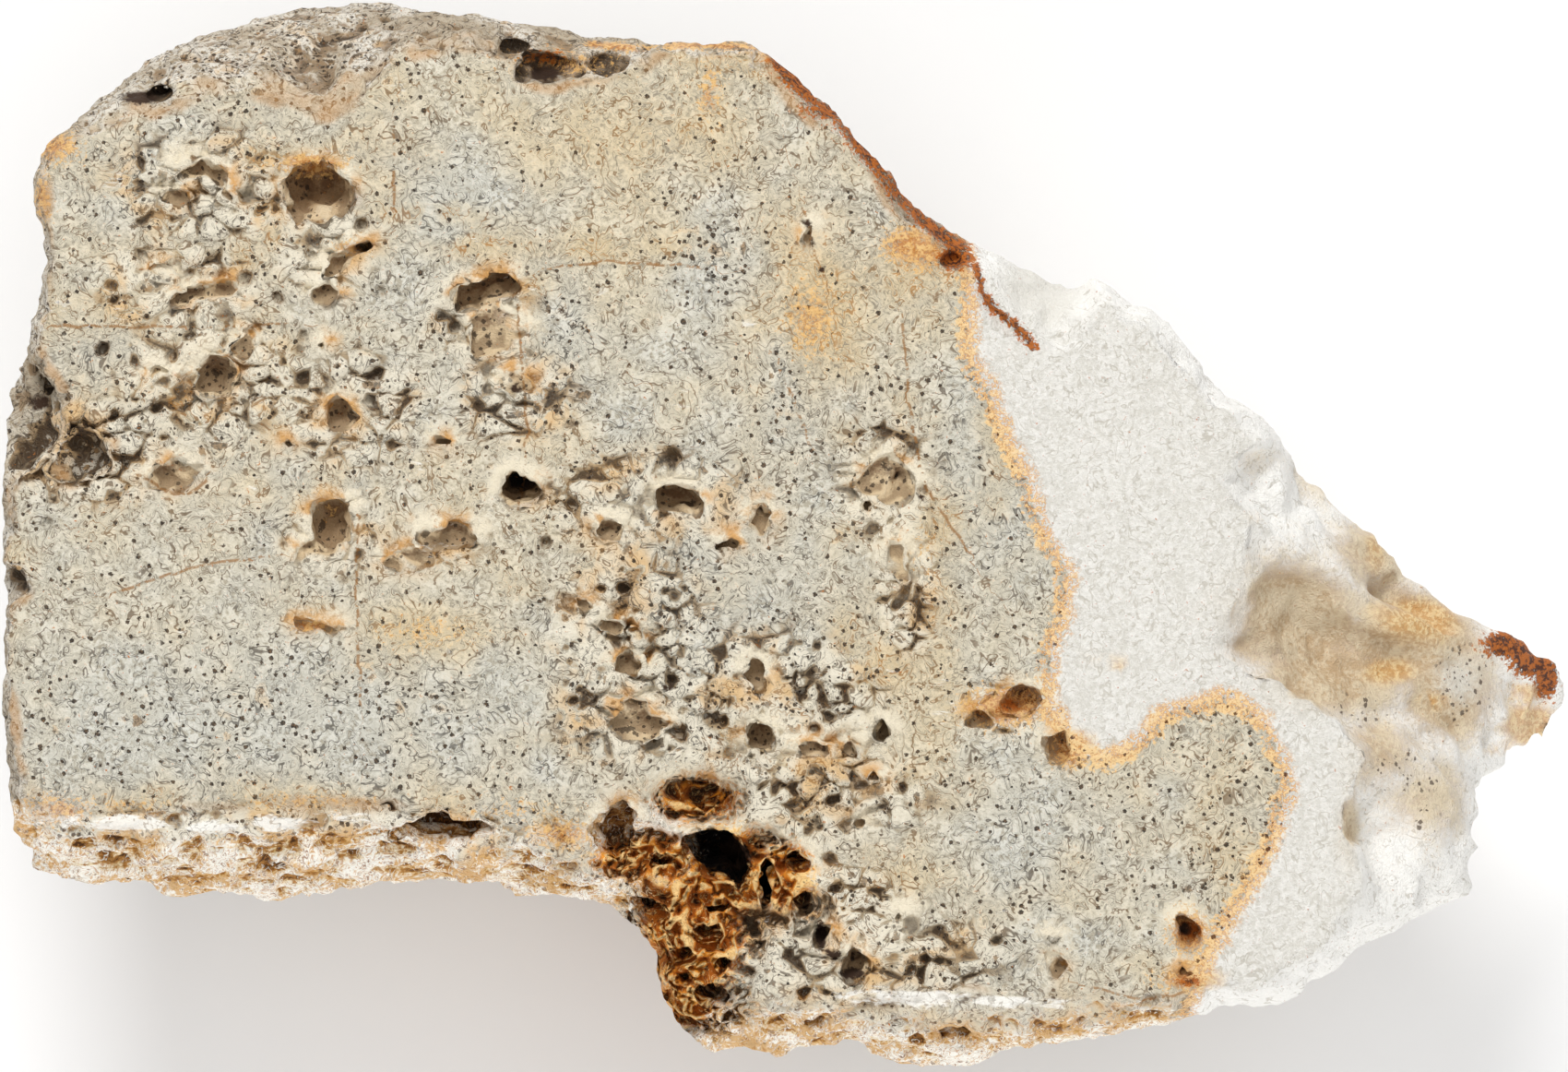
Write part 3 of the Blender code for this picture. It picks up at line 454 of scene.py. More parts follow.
OCHRE = [(880, 345, 36, 60, 0.7), (985, 265, 40, 26, 1), (460, 685, 70, 24, 0.5), (770, 100, 16, 45, 0.8),
         (335, 178, 50, 16, 0.9), (1090, 765, 60, 30, 1), (1165, 815, 35, 25, 0.9), (1290, 1010, 30, 30, 1),
         (1290, 1062, 50, 14, 1), (60, 160, 40, 25, 0.8), (45, 215, 14, 40, 0.8), (60, 880, 60, 24, 0.8),
         (1215, 720, 14, 10, 0.7), (610, 66, 80, 24, 0.6), (380, 268, 30, 14, 0.7),
         (1000, 272, 44, 30, 0.9), (110, 872, 110, 12, 0.5), (330, 868, 120, 14, 0.5),
         (560, 880, 90, 16, 0.5), (1300, 780, 70, 18, 0.3), (1545, 672, 60, 34, 1.1),
         (1510, 728, 42, 18, 1.1), (1563, 762, 24, 14, 1), (1496, 600, 16, 50, 0.7),
         (1668, 790, 40, 26, 1.2), (1370, 560, 60, 20, 0.4), (760, 870, 50, 40, 0.6),
         (1225, 1102, 60, 8, 0.7), (1000, 600, 18, 50, 0.4), (350, 548, 40, 20, 0.4),
         (335, 678, 30, 8, 0.9), (1640, 815, 30, 14, 0.8), (1672, 752, 34, 14, 1.0),
         (610, 905, 70, 24, 0.75), (250, 915, 90, 14, 0.6)]
# Dark spots; those over the recesses and holes are painted shade.
DARK = [(590, 78, 26, 14, 0.9), (150, 105, 28, 10, 1), (1285, 1008, 14, 12, 0.8), (470, 902, 64, 20, 0.35),
        (796, 930, 22, 22, 1.2), (876, 240, 6, 9, 1), (884, 262, 7, 10, 1), (893, 288, 7, 9, 1),
        (903, 310, 9, 6, 0.9), (898, 352, 6, 8, 0.8), (560, 420, 12, 8, 0.9), (612, 338, 9, 7, 0.9),
        (540, 395, 8, 6, 0.8), (890, 1015, 9, 24, 1), (924, 1056, 20, 8, 1), (905, 1036, 12, 9, 0.9),
        (1362, 866, 9, 6, 0.8), (725, 745, 9, 7, 0.9), (1000, 540, 8, 10, 0.8), (1150, 800, 10, 14, 0.6),
        (40, 435, 24, 14, 0.8), (600, 888, 50, 14, 0.5)]
RUST = [(1646, 700, 30, 15, 1.5), (1672, 716, 24, 20, 1.7), (1690, 738, 14, 26, 1.4),
        (1035, 280, 22, 16, 1), (905, 118, 40, 16, 0.9), (1095, 765, 18, 10, 0.8),
        (1290, 1010, 16, 12, 0.9), (590, 60, 30, 10, 0.6), (1290, 1064, 20, 6, 0.9)]
GOLD_EDGE = [(640, 46), (690, 50), (760, 47), (822, 50), (850, 78)]
RUST_EDGE = [(842, 66), (852, 80), (880, 104), (908, 126), (936, 158), (972, 204), (1002, 236), (1044, 268)]
THIN_EDGE = [(1044, 268), (1060, 292), (1066, 316), (1078, 336), (1098, 350), (1112, 364), (1124, 384)]
SPECKLED = [(1595, 745, 40, 50, 1), (1530, 838, 50, 26, 1), (1550, 890, 20, 20, 0.8),
            (1480, 770, 60, 30, 0.6), (300, 60, 190, 50, 1), (240, 205, 60, 30, 0.8), (215, 320, 60, 25, 1),
            (560, 415, 50, 25, 0.8), (610, 350, 30, 30, 0.8), (960, 520, 50, 50, 0.8),
            (180, 470, 120, 60, 0.8), (380, 440, 80, 60, 0.7), (700, 690, 80, 100, 0.8),
            (860, 780, 120, 90, 0.8), (740, 1000, 120, 100, 0.8), (930, 1010, 80, 60, 0.8),
            (768, 275, 44, 60, 0.9), (850, 425, 18, 60, 1), (730, 215, 30, 20, 0.7),
            (1165, 830, 40, 30, 0.6), (90, 790, 120, 60, 0.5), (260, 780, 140, 70, 0.5),
            (420, 760, 100, 90, 0.5), (1330, 900, 70, 110, 0.6)]
VEINS = [[(60, 353), (200, 355), (330, 351)], [(428, 150), (426, 222)],
         [(874, 236), (882, 268), (894, 300)], [(150, 515), (175, 530), (205, 538), (222, 520)],
         [(985, 440), (1000, 520), (1030, 570), (1050, 600)], [(842, 390), (862, 440), (878, 480)],
         [(600, 290), (660, 283), (760, 290)], [(978, 350), (985, 420)],
         [(388, 560), (386, 640), (390, 760)], [(1180, 1070), (1240, 1085), (1310, 1072)],
         [(130, 640), (220, 612), (300, 604)], [(560, 330), (572, 470), (560, 560)]]
BANK = [(60, 915, 120, 46, 1), (180, 930, 130, 50, 1), (330, 945, 130, 50, 1), (480, 930, 120, 50, 1),
        (600, 950, 120, 40, 1), (690, 930, 60, 60, 1), (1000, 1120, 110, 45, 1), (1150, 1115, 130, 40, 1),
        (850, 1120, 100, 40, 1)]
COMB = [(750, 1010, 60, 80, 1), (700, 930, 60, 24, 1), (790, 945, 50, 50, 1), (755, 868, 50, 24, 0.8),
        (850, 950, 36, 40, 0.9), (740, 1090, 40, 30, 0.8)]
TAN = [(1410, 665, 110, 84, 1.2), (1450, 735, 110, 50, 1.25), (1350, 700, 50, 36, 0.8),
       (1540, 690, 120, 80, 1.3), (1580, 755, 70, 70, 1.2), (1500, 600, 80, 60, 1.1),
       (1500, 820, 70, 50, 1.0), (1555, 870, 70, 70, 0.9), (1440, 520, 50, 40, 0.7),
       (1460, 900, 16, 70, 1.0), (1465, 890, 12, 60, 0.9), (1370, 500, 60, 26, 0.5),
       (1440, 570, 60, 30, 0.35), (1100, 385, 40, 20, 0.5), (1570, 880, 60, 60, 0.3)]
GAPS = [(885, 990, 120, 70, 1)]
UNDERCUT_REACH = 0.0025
THIN_WIDE, RUST_WIDE, GOLD_WIDE = 0.00045, 0.0011, 0.0006
FADE_FROM, FADE_TO = 0.003, 0.013
EASE_SHARE, EASE_ROUNDS, MORE_ROUNDS = 0.6, 24, 60
MM_PER_METRE = 1000

co = points_of(skin)
normal = points_of(skin, "normal")
ends = ends_of(skin)
below = TOP - co[:, 2]
eased = softened(co, ends, EASE_SHARE, EASE_ROUNDS)
eased_more = softened(eased, ends, EASE_SHARE, MORE_ROUNDS)
hole = rising(read_map(holes.astype(float), co), 0.3, 0.7)
contact_away = side_of_line(co, CONTACT)


def keep_map(name, values):
    """Keeps a value for each point on the mesh, for the finish to read."""
    kept = skin.attributes.new(name, "FLOAT", "POINT")
    kept.data.foreach_set("value", np.asarray(values, np.float32))


def slope_up(values):
    """How fast a map's values rise from one row to the next."""
    slope = np.zeros_like(values)
    slope[:, 1:-1] = (values[:, 2:] - values[:, :-2]) / (2 * MAP_STEP)
    return slope


def along_edge(line, wide):
    """How near each point is to a line that wide."""
    return np.exp(-(side_of_line(co, line) / wide) ** 2)


for name, table in (("pocked", ROUGH), ("cream", CREAM), ("tint", TINT), ("ledge", LEDGE), ("gaps", GAPS),
                    ("grey", GREY), ("dark", DARK), ("bank", BANK), ("comb", COMB), ("tan", TAN),
                    ("speckled", SPECKLED)):
    keep_map(name, patches(co, table))
on_face = rising(normal[:, 2], 0.55, 0.9) * rising(0.0019 - below, 0, 0.0004)
keep_map("sawn", on_face * (1 - hole * (below > 0.0003)))
keep_map("vug", hole * np.clip(below * MM_PER_METRE, 0, 25) * (below < 0.03))
keep_map("mouth", read_map(hole_map, co) * MM_PER_METRE)
keep_map("rim", read_map(rim_map, co) * MM_PER_METRE)
keep_map("over", read_map(slope_up(hole_map), co))
undercut = -slope_up(hole_inner_map) * (hole_inner_map > 0) * (hole_inner_map < UNDERCUT_REACH)
keep_map("under", read_map(undercut, co))
keep_map("hollow", ((eased - co) * normal).sum(1) * MM_PER_METRE)
keep_map("hollow_wide", ((eased_more - co) * normal).sum(1) * MM_PER_METRE)
keep_map("contact", contact_away * MM_PER_METRE)

# Stains fade within a centimetre down the limestone's natural sides, and the rusty edges are
# broken here and there.
sunk = rising(below + 0.003 * noise(co, 0.006, 66), FADE_FROM, FADE_TO)
fading = 1 - 0.9 * sunk * (contact_away < 0.001)
thin_edge = along_edge(THIN_EDGE, THIN_WIDE) * (1 - rising(below, 0.006, 0.014))
rust_edge = along_edge(RUST_EDGE, RUST_WIDE) * (0.80 + 0.45 * noise(co, 0.0045, 61))
rust_edge = np.maximum(rust_edge, 0.9 * thin_edge)
gold_edge = along_edge(GOLD_EDGE, GOLD_WIDE) * (0.8 + 0.5 * noise(co, 0.004, 64))
keep_map("rust", fading * np.maximum(patches(co, RUST), rust_edge))
keep_map("ochre", fading * np.maximum(patches(co, OCHRE), gold_edge))
keep_map("mottle", noise(co, 0.0014, 51) * 0.7 + noise(co, 0.0007, 52) * 0.3)
keep_map("clouds", noise(co, 0.0050, 53) * 0.6 + noise(co, 0.0024, 54) * 0.4)
swirl = skin.attributes.new("swirl", "FLOAT_VECTOR", "POINT")
swirl.data.foreach_set("vector", wander(co, 1.3, 0.0024, 55).astype(np.float32).ravel())
vein = np.array([side_of_line(co, line) for line in VEINS])
nearest = np.argmin(np.abs(vein), axis=0)
keep_map("vein", np.clip(vein[nearest, np.arange(len(co))] * MM_PER_METRE, -3, 3))


# The finish, shared effects. Strokes and specks are built once as node groups, and placed with
# their own sizes. Places are in millimetres on the stone.
def add(tree, kind, settings=None, **sockets):
    """A new node with its settings, and its sockets joined or set by name."""
    made = tree.nodes.new("ShaderNode" + kind)
    for key, value in (settings or {}).items():
        setattr(made, key, value)
    for key, value in sockets.items():
        if key[0] == "s" and key[1:].isdigit():
            join(tree, made.inputs[int(key[1:])], value)
        else:
            join(tree, made.inputs[key.replace("_", " ")], value)
    return made


def join(tree, socket, value):
    """Joins a socket to another node's, or sets its value."""
    if isinstance(value, bpy.types.NodeSocket):
        tree.links.new(value, socket)
    else:
        socket.default_value = value


def calc(tree, what, a, b=0.0, c=0.0):
    """The outcome of a sum, product or other step on values."""
    return add(tree, "Math", {"operation": what}, s0=a, s1=b, s2=c).outputs[0]


def ramp(tree, value, low, high):
    """A smooth rise from 0 to 1 as value goes from low to high."""
    return add(tree, "MapRange", {"interpolation_type": "SMOOTHSTEP"}, s0=value, s1=low, s2=high).outputs[0]


def grain_of(tree, place, scale, detail, roughness=0.5, distortion=0.0):
    """Smooth noise of that many lumps to the millimetre, from about 0 to 1."""
    return add(tree, "TexNoise", {}, Vector=place, Scale=scale, Detail=detail, Roughness=roughness,
               Distortion=distortion).outputs[0]


def new_group(name, inputs, outputs):
    """An empty node group with named inputs and outputs."""
    tree = bpy.data.node_groups.new(name, "ShaderNodeTree")
    for label, kind in inputs:
        tree.interface.new_socket(name=label, in_out="INPUT", socket_type="NodeSocket" + kind)
    for label, kind in outputs:
        tree.interface.new_socket(name=label, in_out="OUTPUT", socket_type="NodeSocket" + kind)
    return tree, tree.nodes.new("NodeGroupInput").outputs, tree.nodes.new("NodeGroupOutput").inputs


def place_group(tree, group, **sockets):
    """A node group placed in a tree, with its inputs joined or set."""
    made = tree.nodes.new("ShaderNodeGroup")
    made.node_tree = group
    for key, value in sockets.items():
        join(tree, made.inputs[key], value)
    return made.outputs


# Fine curved strokes are the level lines of a noise on places that swirl.
strokes, given, result = new_group(
    "curved strokes", [("Place", "Vector"), ("Swirl", "Vector"), ("Scale", "Float"), ("Lines", "Float"),
                       ("Width", "Float")], [("Coarse", "Float"), ("Fine", "Float")])
moved = add(strokes, "VectorMath", {"operation": "ADD"}, s0=given["Place"], s1=given["Swirl"]).outputs[0]
level = grain_of(strokes, moved, given["Scale"], 2.0, 0.55)
for label, times, shift in (("Coarse", 1.0, 0.0), ("Fine", 2.1, 0.37)):
    wave = calc(strokes, "MULTIPLY_ADD", level, calc(strokes, "MULTIPLY", given["Lines"], times), shift)
    wave = calc(strokes, "DIVIDE", calc(strokes, "PINGPONG", wave, 1.0), given["Width"])
    strokes.links.new(ramp(strokes, wave, 1.0, 0.3), result[label])

# Small round specks are some of a scatter of seeds, each with its own size and a ring round it.
specks, given, result = new_group(
    "specks", [("Place", "Vector"), ("Scale", "Float"), ("Size", "Float"), ("Share", "Float"),
               ("Ragged", "Float")], [("Mask", "Float"), ("Ring", "Float")])
seeds = add(specks, "TexVoronoi", {"feature": "F1"}, Vector=given["Place"], Scale=given["Scale"],
            Randomness=1.0)
lot = add(specks, "SeparateColor", {}, s0=seeds.outputs["Color"]).outputs
chosen = ramp(specks, calc(specks, "SUBTRACT", given["Share"], lot[0]), 0.0, 0.02)
reach = calc(specks, "MULTIPLY", given["Size"], calc(specks, "ADD", lot[1], 0.45))
away = calc(specks, "DIVIDE", calc(specks, "ADD", seeds.outputs["Distance"], given["Ragged"]), reach)
inside = ramp(specks, away, 1.0, 0.75)
specks.links.new(calc(specks, "MULTIPLY", inside, chosen), result["Mask"])
ring = calc(specks, "MULTIPLY", ramp(specks, away, 1.9, 1.2), calc(specks, "SUBTRACT", 1.0, inside))
specks.links.new(calc(specks, "MULTIPLY", ring, chosen), result["Ring"])


# The finish: limestone, calcite and iron stain. Light grey-beige limestone, finely mottled, with
# cream crests and brown hollows that are partly painted highlight and painted shade; white calcite;
# and the rusty line between them. One material, since the stone is one piece.
finish = bpy.data.materials.new("stone")
finish.use_nodes = True
tree = finish.node_tree
for node in list(tree.nodes):
    if node.type != "OUTPUT_MATERIAL":
        tree.nodes.remove(node)
out = tree.nodes[0]


def colour(red, green, blue):
    """A colour as it is seen, turned into what light does."""
    return [((c / 255 + 0.055) / 1.055) ** 2.4 if c > 10 else c / 3294.6 for c in (red, green, blue)] + [1.0]


def blend(share, a, b, way="MIX"):
    """Colour a turned into colour b by a share."""
    return add(tree, "Mix", {"data_type": "RGBA", "blend_type": way, "clamp_factor": True},
               s0=share, s6=a, s7=b).outputs[2]


def read(name, as_what="Fac"):
    """The value or the offset that a map holds at each place."""
    kept = add(tree, "Attribute", {"attribute_type": "GEOMETRY", "attribute_name": name})
    return kept.outputs[as_what]


def both(*masks):
    """Masks multiplied together."""
    total = masks[0]
    for mask in masks[1:]:
        total = calc(tree, "MULTIPLY", total, mask)
    return total


def most(a, b):
    """The stronger of two masks."""
    return calc(tree, "MAXIMUM", a, b)


def less(mask):
    """What a mask leaves."""
    return calc(tree, "SUBTRACT", 1.0, mask)


def added(base, *parts):
    """A value with shares of other values added to it."""
    for value, share in parts:
        base = calc(tree, "MULTIPLY_ADD", value, share, base)
    return base


def rise(value, low, high):
    """A smooth rise from 0 to 1 as value goes from low to high."""
    return ramp(tree, value, low, high)


def laid(base, over, *masks):
    """A colour laid over another as far as all the masks let it."""
    return blend(both(*masks), base, over)


object_place = add(tree, "TexCoord").outputs["Object"]
place = add(tree, "Mapping", {}, Vector=object_place, Rotation=(0.61, 0.83, 0.37),
            Scale=(1000.0, 1000.0, 1000.0)).outputs[0]
small = grain_of(tree, place, 1.9, 2.0, 0.62, 0.3)
tiny = grain_of(tree, place, 5.5, 1.0, 0.6)
grit = grain_of(tree, place, 11.0, 0.0)
mottle = read("mottle")
clouds = read("clouds")
sawn_mask = read("sawn")
vug = read("vug")
hollow_small = read("hollow")
hollow_big = read("hollow_wide")
contact = read("contact")
speckled = read("speckled")
pocked_mask = read("pocked")
tint = read("tint")
bank_mask = read("bank")

# Strokes, dots and pores.
offset = read("swirl", "Vector")
line = place_group(tree, strokes, Place=place, Swirl=offset, Scale=0.62, Lines=9.0, Width=0.24)
coarse = both(line["Coarse"], rise(added(mottle, (pocked_mask, 0.45)), -0.30, 0.02))
thin = both(line["Fine"], rise(mottle, 0.30, 0.0))
ragged_edge = added(-0.26, (tiny, 0.5))
dot_share = added(0.13, (clouds, 0.20), (most(speckled, both(pocked_mask, 0.9)), 0.62))
dots = place_group(tree, specks, Place=place, Scale=1.7, Size=0.34, Share=dot_share,
                   Ragged=ragged_edge)["Mask"]
pore_share = added(-0.12, (mottle, 0.25), (most(speckled, pocked_mask), 0.60))
pore_place = add(tree, "VectorMath", {"operation": "ADD"}, s0=place, s1=offset).outputs[0]
pore = place_group(tree, specks, Place=pore_place, Scale=0.72, Size=0.36, Share=pore_share,
                   Ragged=ragged_edge)

# Sawn limestone: grey to cream, with pale and darker flecks and golden tints.
GREY_STONE, CREAM_STONE = colour(203, 200, 187), colour(211, 198, 170)
PALE_GREY, PALE_CREAM = colour(224, 222, 212), colour(233, 223, 200)
DARK_FLECK, GOLD_TINT = colour(158, 146, 124), colour(246, 224, 184)
warm = added(calc(tree, "SUBTRACT", read("cream"), read("grey")), (clouds, 0.9), (mottle, 0.45))
lime_colour = blend(rise(warm, -0.9, 0.9), GREY_STONE, CREAM_STONE)
pale_fleck = blend(rise(warm, -0.8, 0.8), PALE_GREY, PALE_CREAM)
lime_colour = laid(lime_colour, pale_fleck, rise(added(small, (mottle, 0.22)), 0.46, 0.64), 0.8)
lime_colour = laid(lime_colour, DARK_FLECK, rise(added(small, (clouds, 0.16)), 0.44, 0.32), 0.6)
golden_lime = blend(1.0, lime_colour, GOLD_TINT, "MULTIPLY")
lime_colour = laid(lime_colour, golden_lime, rise(added(tint, (small, 1.2), (clouds, 0.5)), 0.50, 1.40), 0.5)

# Natural skin of the limestone: paler lumps, many dark specks, and painted shade in the hollows,
# brown where shallow and near black where deepest.
SKIN_BROWN, SKIN_PALE = colour(184, 170, 148), colour(226, 219, 206)
SKIN_SHADE, SKIN_HOLLOW_SHADE = colour(158, 140, 114), colour(136, 108, 74)
SKIN_PIT_SHADE, SKIN_OCHRE = colour(58, 42, 26), colour(196, 160, 112)
dipped = added(hollow_small, (small, 0.3))
skin_colour = blend(rise(clouds, -0.3, 0.3), SKIN_BROWN, SKIN_PALE)
skin_colour = laid(skin_colour, SKIN_SHADE, rise(small, 0.52, 0.36))
# Painted shade: the skin darkens with how hollow each place is.
skin_colour = laid(skin_colour, SKIN_HOLLOW_SHADE, rise(dipped, 0.12, 0.28), 0.75)
skin_colour = laid(skin_colour, SKIN_PIT_SHADE, rise(dipped, 0.36, 0.60), 0.85)
skin_colour = laid(skin_colour, SKIN_OCHRE, rise(added(clouds, (mottle, 0.6)), 0.30, 0.60), 0.7)
stone_colour = blend(sawn_mask, skin_colour, lime_colour)

# Plucked patches: beige and ochre hollows that darken to deep brown as they deepen, partly the
# stone's tan and partly painted shade; pale and ochre crests, partly crust and partly painted highlight.
HOLLOW_BEIGE, HOLLOW_OCHRE = colour(152, 132, 102), colour(178, 142, 94)
GAP_SHADE_BROWN = colour(66, 48, 30)
CREST_PALE, CREST_OCHRE = colour(238, 229, 208), colour(224, 184, 128)
gaps = read("gaps")
deepness = added(hollow_small, (small, 0.16), (gaps, 0.11))
in_patch = rise(pocked_mask, 0.10, 0.45)
hollow_colour = blend(rise(clouds, -0.3, 0.3), HOLLOW_BEIGE, HOLLOW_OCHRE)
# Partly painted shade: the hollows darken with depth, to deep brown where deepest.
stone_colour = laid(stone_colour, hollow_colour, rise(deepness, 0.08, 0.24), in_patch, 0.85)
stone_colour = laid(stone_colour, GAP_SHADE_BROWN, rise(deepness, 0.26, 0.48), in_patch, 0.9)
# Crests lighten where the surface is raised: partly pale crust, partly painted highlight.
crest_colour = blend(rise(added(clouds, (mottle, 0.5)), -0.05, 0.40), CREST_PALE, CREST_OCHRE)
lifted = both(rise(added(hollow_small, (small, -0.16)), -0.08, -0.17), rise(pocked_mask, 0.15, 0.5))
stone_colour = laid(stone_colour, crest_colour, lifted, added(0.75, (gaps, 0.2)))

# Pores with pale rings, curved strokes and dark dots over it all. The pores are in the colour only,
# not the relief: their dark and brown is painted shade of tiny holes.
RING_PALE, RING_OCHRE = colour(242, 233, 214), colour(222, 186, 136)
PORE_SHADE_DARK, PORE_SHADE_BROWN = colour(74, 56, 36), colour(150, 118, 78)
STROKE_GREY, STROKE_BROWN, STROKE_GOLD = colour(84, 80, 72), colour(128, 98, 60), colour(176, 124, 60)
STROKE_ON_SKIN, FINE_STROKE = colour(64, 50, 34), colour(114, 106, 92)
DOT_DARK, DOT_BROWN = colour(34, 26, 19), colour(86, 64, 40)
stone_colour = laid(stone_colour, blend(rise(clouds, -0.2, 0.3), RING_PALE, RING_OCHRE), pore["Ring"], 0.45)
stone_colour = laid(stone_colour, blend(rise(small, 0.40, 0.58), PORE_SHADE_DARK, PORE_SHADE_BROWN), pore["Mask"], 0.8)
stroke_colour = blend(rise(warm, -0.5, 0.6), STROKE_GREY, STROKE_BROWN)
stroke_colour = laid(stroke_colour, STROKE_GOLD, rise(added(tint, (clouds, 0.6)), 0.25, 0.8))
stroke_colour = blend(sawn_mask, STROKE_ON_SKIN, stroke_colour)
stone_colour = laid(stone_colour, stroke_colour, coarse, 0.82)
stone_colour = laid(stone_colour, FINE_STROKE, thin, 0.62)
stone_colour = laid(stone_colour, blend(rise(tiny, 0.4, 0.6), DOT_DARK, DOT_BROWN), dots, 0.94)

# Cream and ochre crests round the vug mouths, strongest on the far side, nearer the light: partly
# crust, partly painted highlight. Brown insides, darkening with depth to black as painted shade.
LIP_CREAM, LIP_OCHRE = colour(240, 228, 202), colour(218, 164, 96)
VUG_PALE, VUG_BROWN, VUG_DEPTH_SHADE = colour(218, 194, 156), colour(172, 138, 96), colour(30, 17, 8)
VUG_CREST, VUG_DIP_SHADE, VUG_UNDERCUT_SHADOW = colour(232, 212, 178), colour(104, 74, 44), colour(92, 58, 28)
VUG_SPECK, VUG_DEEP_SHADE = colour(48, 34, 20), colour(16, 9, 5)
# Painted highlight: the lip is laid on most strongly on the side of each mouth nearer the light.
far_side = rise(read("over"), -0.35, 0.55)
lip = rise(added(read("mouth"), (small, 2.6), (clouds, 1.2)), 3.6, 1.6)
lip_colour = blend(rise(added(clouds, (small, 0.6), (mottle, 0.6)), 0.20, 0.55), LIP_CREAM, LIP_OCHRE)
stone_colour = laid(stone_colour, lip_colour, lip, less(rise(vug, 0.3, 0.8)), added(0.25, (far_side, 0.70)))
vug_depth = added(vug, (small, 2.4))
# Painted shade: the insides darken with depth, from pale tan through brown to near black.
inner = blend(rise(vug_depth, 2.2, 7.5), VUG_PALE, VUG_BROWN)
inner = laid(inner, VUG_DEPTH_SHADE, rise(vug_depth, 6.0, 10.5))
# Raised bits inside the vugs are paler: partly crust, partly painted highlight.
inner = laid(inner, VUG_CREST, rise(added(hollow_small, (small, -0.3)), -0.22, -0.36), 0.7)
# Painted shade in the dips of the vug walls.
inner = laid(inner, VUG_DIP_SHADE, rise(dipped, 0.26, 0.54), 0.55)
# Painted shadow under each vug's upper wall, where it overhangs.
inner = laid(inner, VUG_UNDERCUT_SHADOW, rise(added(read("under"), (small, 1.2)), 0.9, 1.5), 0.65)
inner = laid(inner, VUG_SPECK, most(dots, pore["Mask"]), 0.8)
stone_colour = laid(stone_colour, inner, rise(vug, 0.25, 0.8))
# Painted shade: deep holes turn black.
stone_colour = laid(stone_colour, VUG_DEEP_SHADE, rise(vug, 4.0, 8.0))

# Iron stains, thin veins and the rind along the rim.
STAIN_BROWN, STAIN_GOLD = colour(190, 118, 44), colour(232, 186, 116)
VEIN_BROWN, RIND_BROWN = colour(152, 108, 58), colour(196, 148, 92)
ragged = added(both(tiny, 0.7), (small, 1.7))
stain = rise(calc(tree, "ADD", ragged, read("ochre")), 1.55, 2.00)
stone_colour = laid(stone_colour, blend(rise(small, 0.42, 0.60), STAIN_BROWN, STAIN_GOLD), stain, 0.85)
thread = calc(tree, "ABSOLUTE", added(read("vein"), (mottle, 0.45)))
stone_colour = laid(stone_colour, VEIN_BROWN, rise(thread, 0.22, 0.06),
                    rise(added(small, (clouds, 0.3)), 0.42, 0.54), 0.8)
by_rim = rise(added(read("rim"), (clouds, 1.4)), 1.1, 0.2)
stone_colour = laid(stone_colour, RIND_BROWN, by_rim, rise(clouds, 0.35, -0.15), sawn_mask,
                    less(rise(bank_mask, 0.05, 0.3)), 0.6)

# The crumbly bank along the near rim: white, golden and brown in streaks, browner and near black
# where hollow, partly stain and partly painted shade, under a bright ledge with a painted highlight.
BANK_WHITE, BANK_CREAM, BANK_GOLD = colour(255, 251, 240), colour(232, 200, 130), colour(212, 158, 66)
BANK_BROWN, BANK_DARK = colour(160, 106, 40), colour(66, 38, 16)
BANK_STROKE, BANK_STROKE_PALE = colour(146, 92, 42), colour(255, 250, 236)
BANK_THREAD, BANK_DOT, LEDGE_HIGHLIGHT = colour(190, 128, 60), colour(96, 60, 28), colour(254, 251, 243)
streaky = add(tree, "Mapping", {}, Vector=object_place, Scale=(420.0, 1500.0, 1100.0)).outputs[0]
streak = grain_of(tree, streaky, 0.9, 3.0, 0.68, 0.6)
sunken = added(both(hollow_small, 0.9), (clouds, 0.30), (streak, 1.5))
deeper = added(sunken, (small, 0.8))
bank_colour = blend(rise(sunken, 0.55, 1.15), BANK_WHITE, BANK_CREAM)
bank_colour = laid(bank_colour, BANK_GOLD, rise(added(clouds, (small, 1.6)), 0.62, 1.02), 0.8)
# Partly painted shade: the bank turns brown and near black where it is hollow.
bank_colour = laid(bank_colour, BANK_BROWN, rise(deeper, 1.20, 1.44), 0.9)
bank_colour = laid(bank_colour, BANK_DARK, rise(deeper, 1.44, 1.66), 0.9)
bank_stroke = blend(rise(small, 0.42, 0.56), BANK_STROKE, BANK_STROKE_PALE)
bank_colour = laid(bank_colour, bank_stroke, line["Coarse"], 0.8)
bank_colour = laid(bank_colour, BANK_THREAD, line["Fine"], 0.65)
bank_colour = laid(bank_colour, BANK_DOT, dots, 0.5)
stone_colour = laid(stone_colour, bank_colour, rise(added(bank_mask, (streak, 0.8)), 0.55, 0.80),
                    less(both(sawn_mask, 0.85)))
ledge_mask = rise(added(read("ledge"), (streak, 2.0), (clouds, 0.7)), 1.45, 1.85)
# Painted highlight: a near-white strip along the bank's upper edge, over pale stone.
stone_colour = laid(stone_colour, LEDGE_HIGHLIGHT, ledge_mask, less(both(line["Coarse"], 0.5)), 0.9)

# The honeycomb: amber walls and hollows, browner where sunken, partly iron stain and partly painted
# shade, and near black where deep as painted shade; paler raised walls, partly painted highlight;
# and pale threads.
COMB_AMBER, COMB_BROWN, COMB_DEEP_SHADE = colour(234, 150, 40), colour(180, 98, 12), colour(60, 30, 6)
COMB_CREST, COMB_THREAD = colour(248, 206, 138), colour(206, 138, 60)
COMB_STROKE, COMB_STROKE_PALE = colour(80, 42, 10), colour(252, 216, 148)
comb_sunken = added(hollow_small, (clouds, 0.3), (small, 0.5))
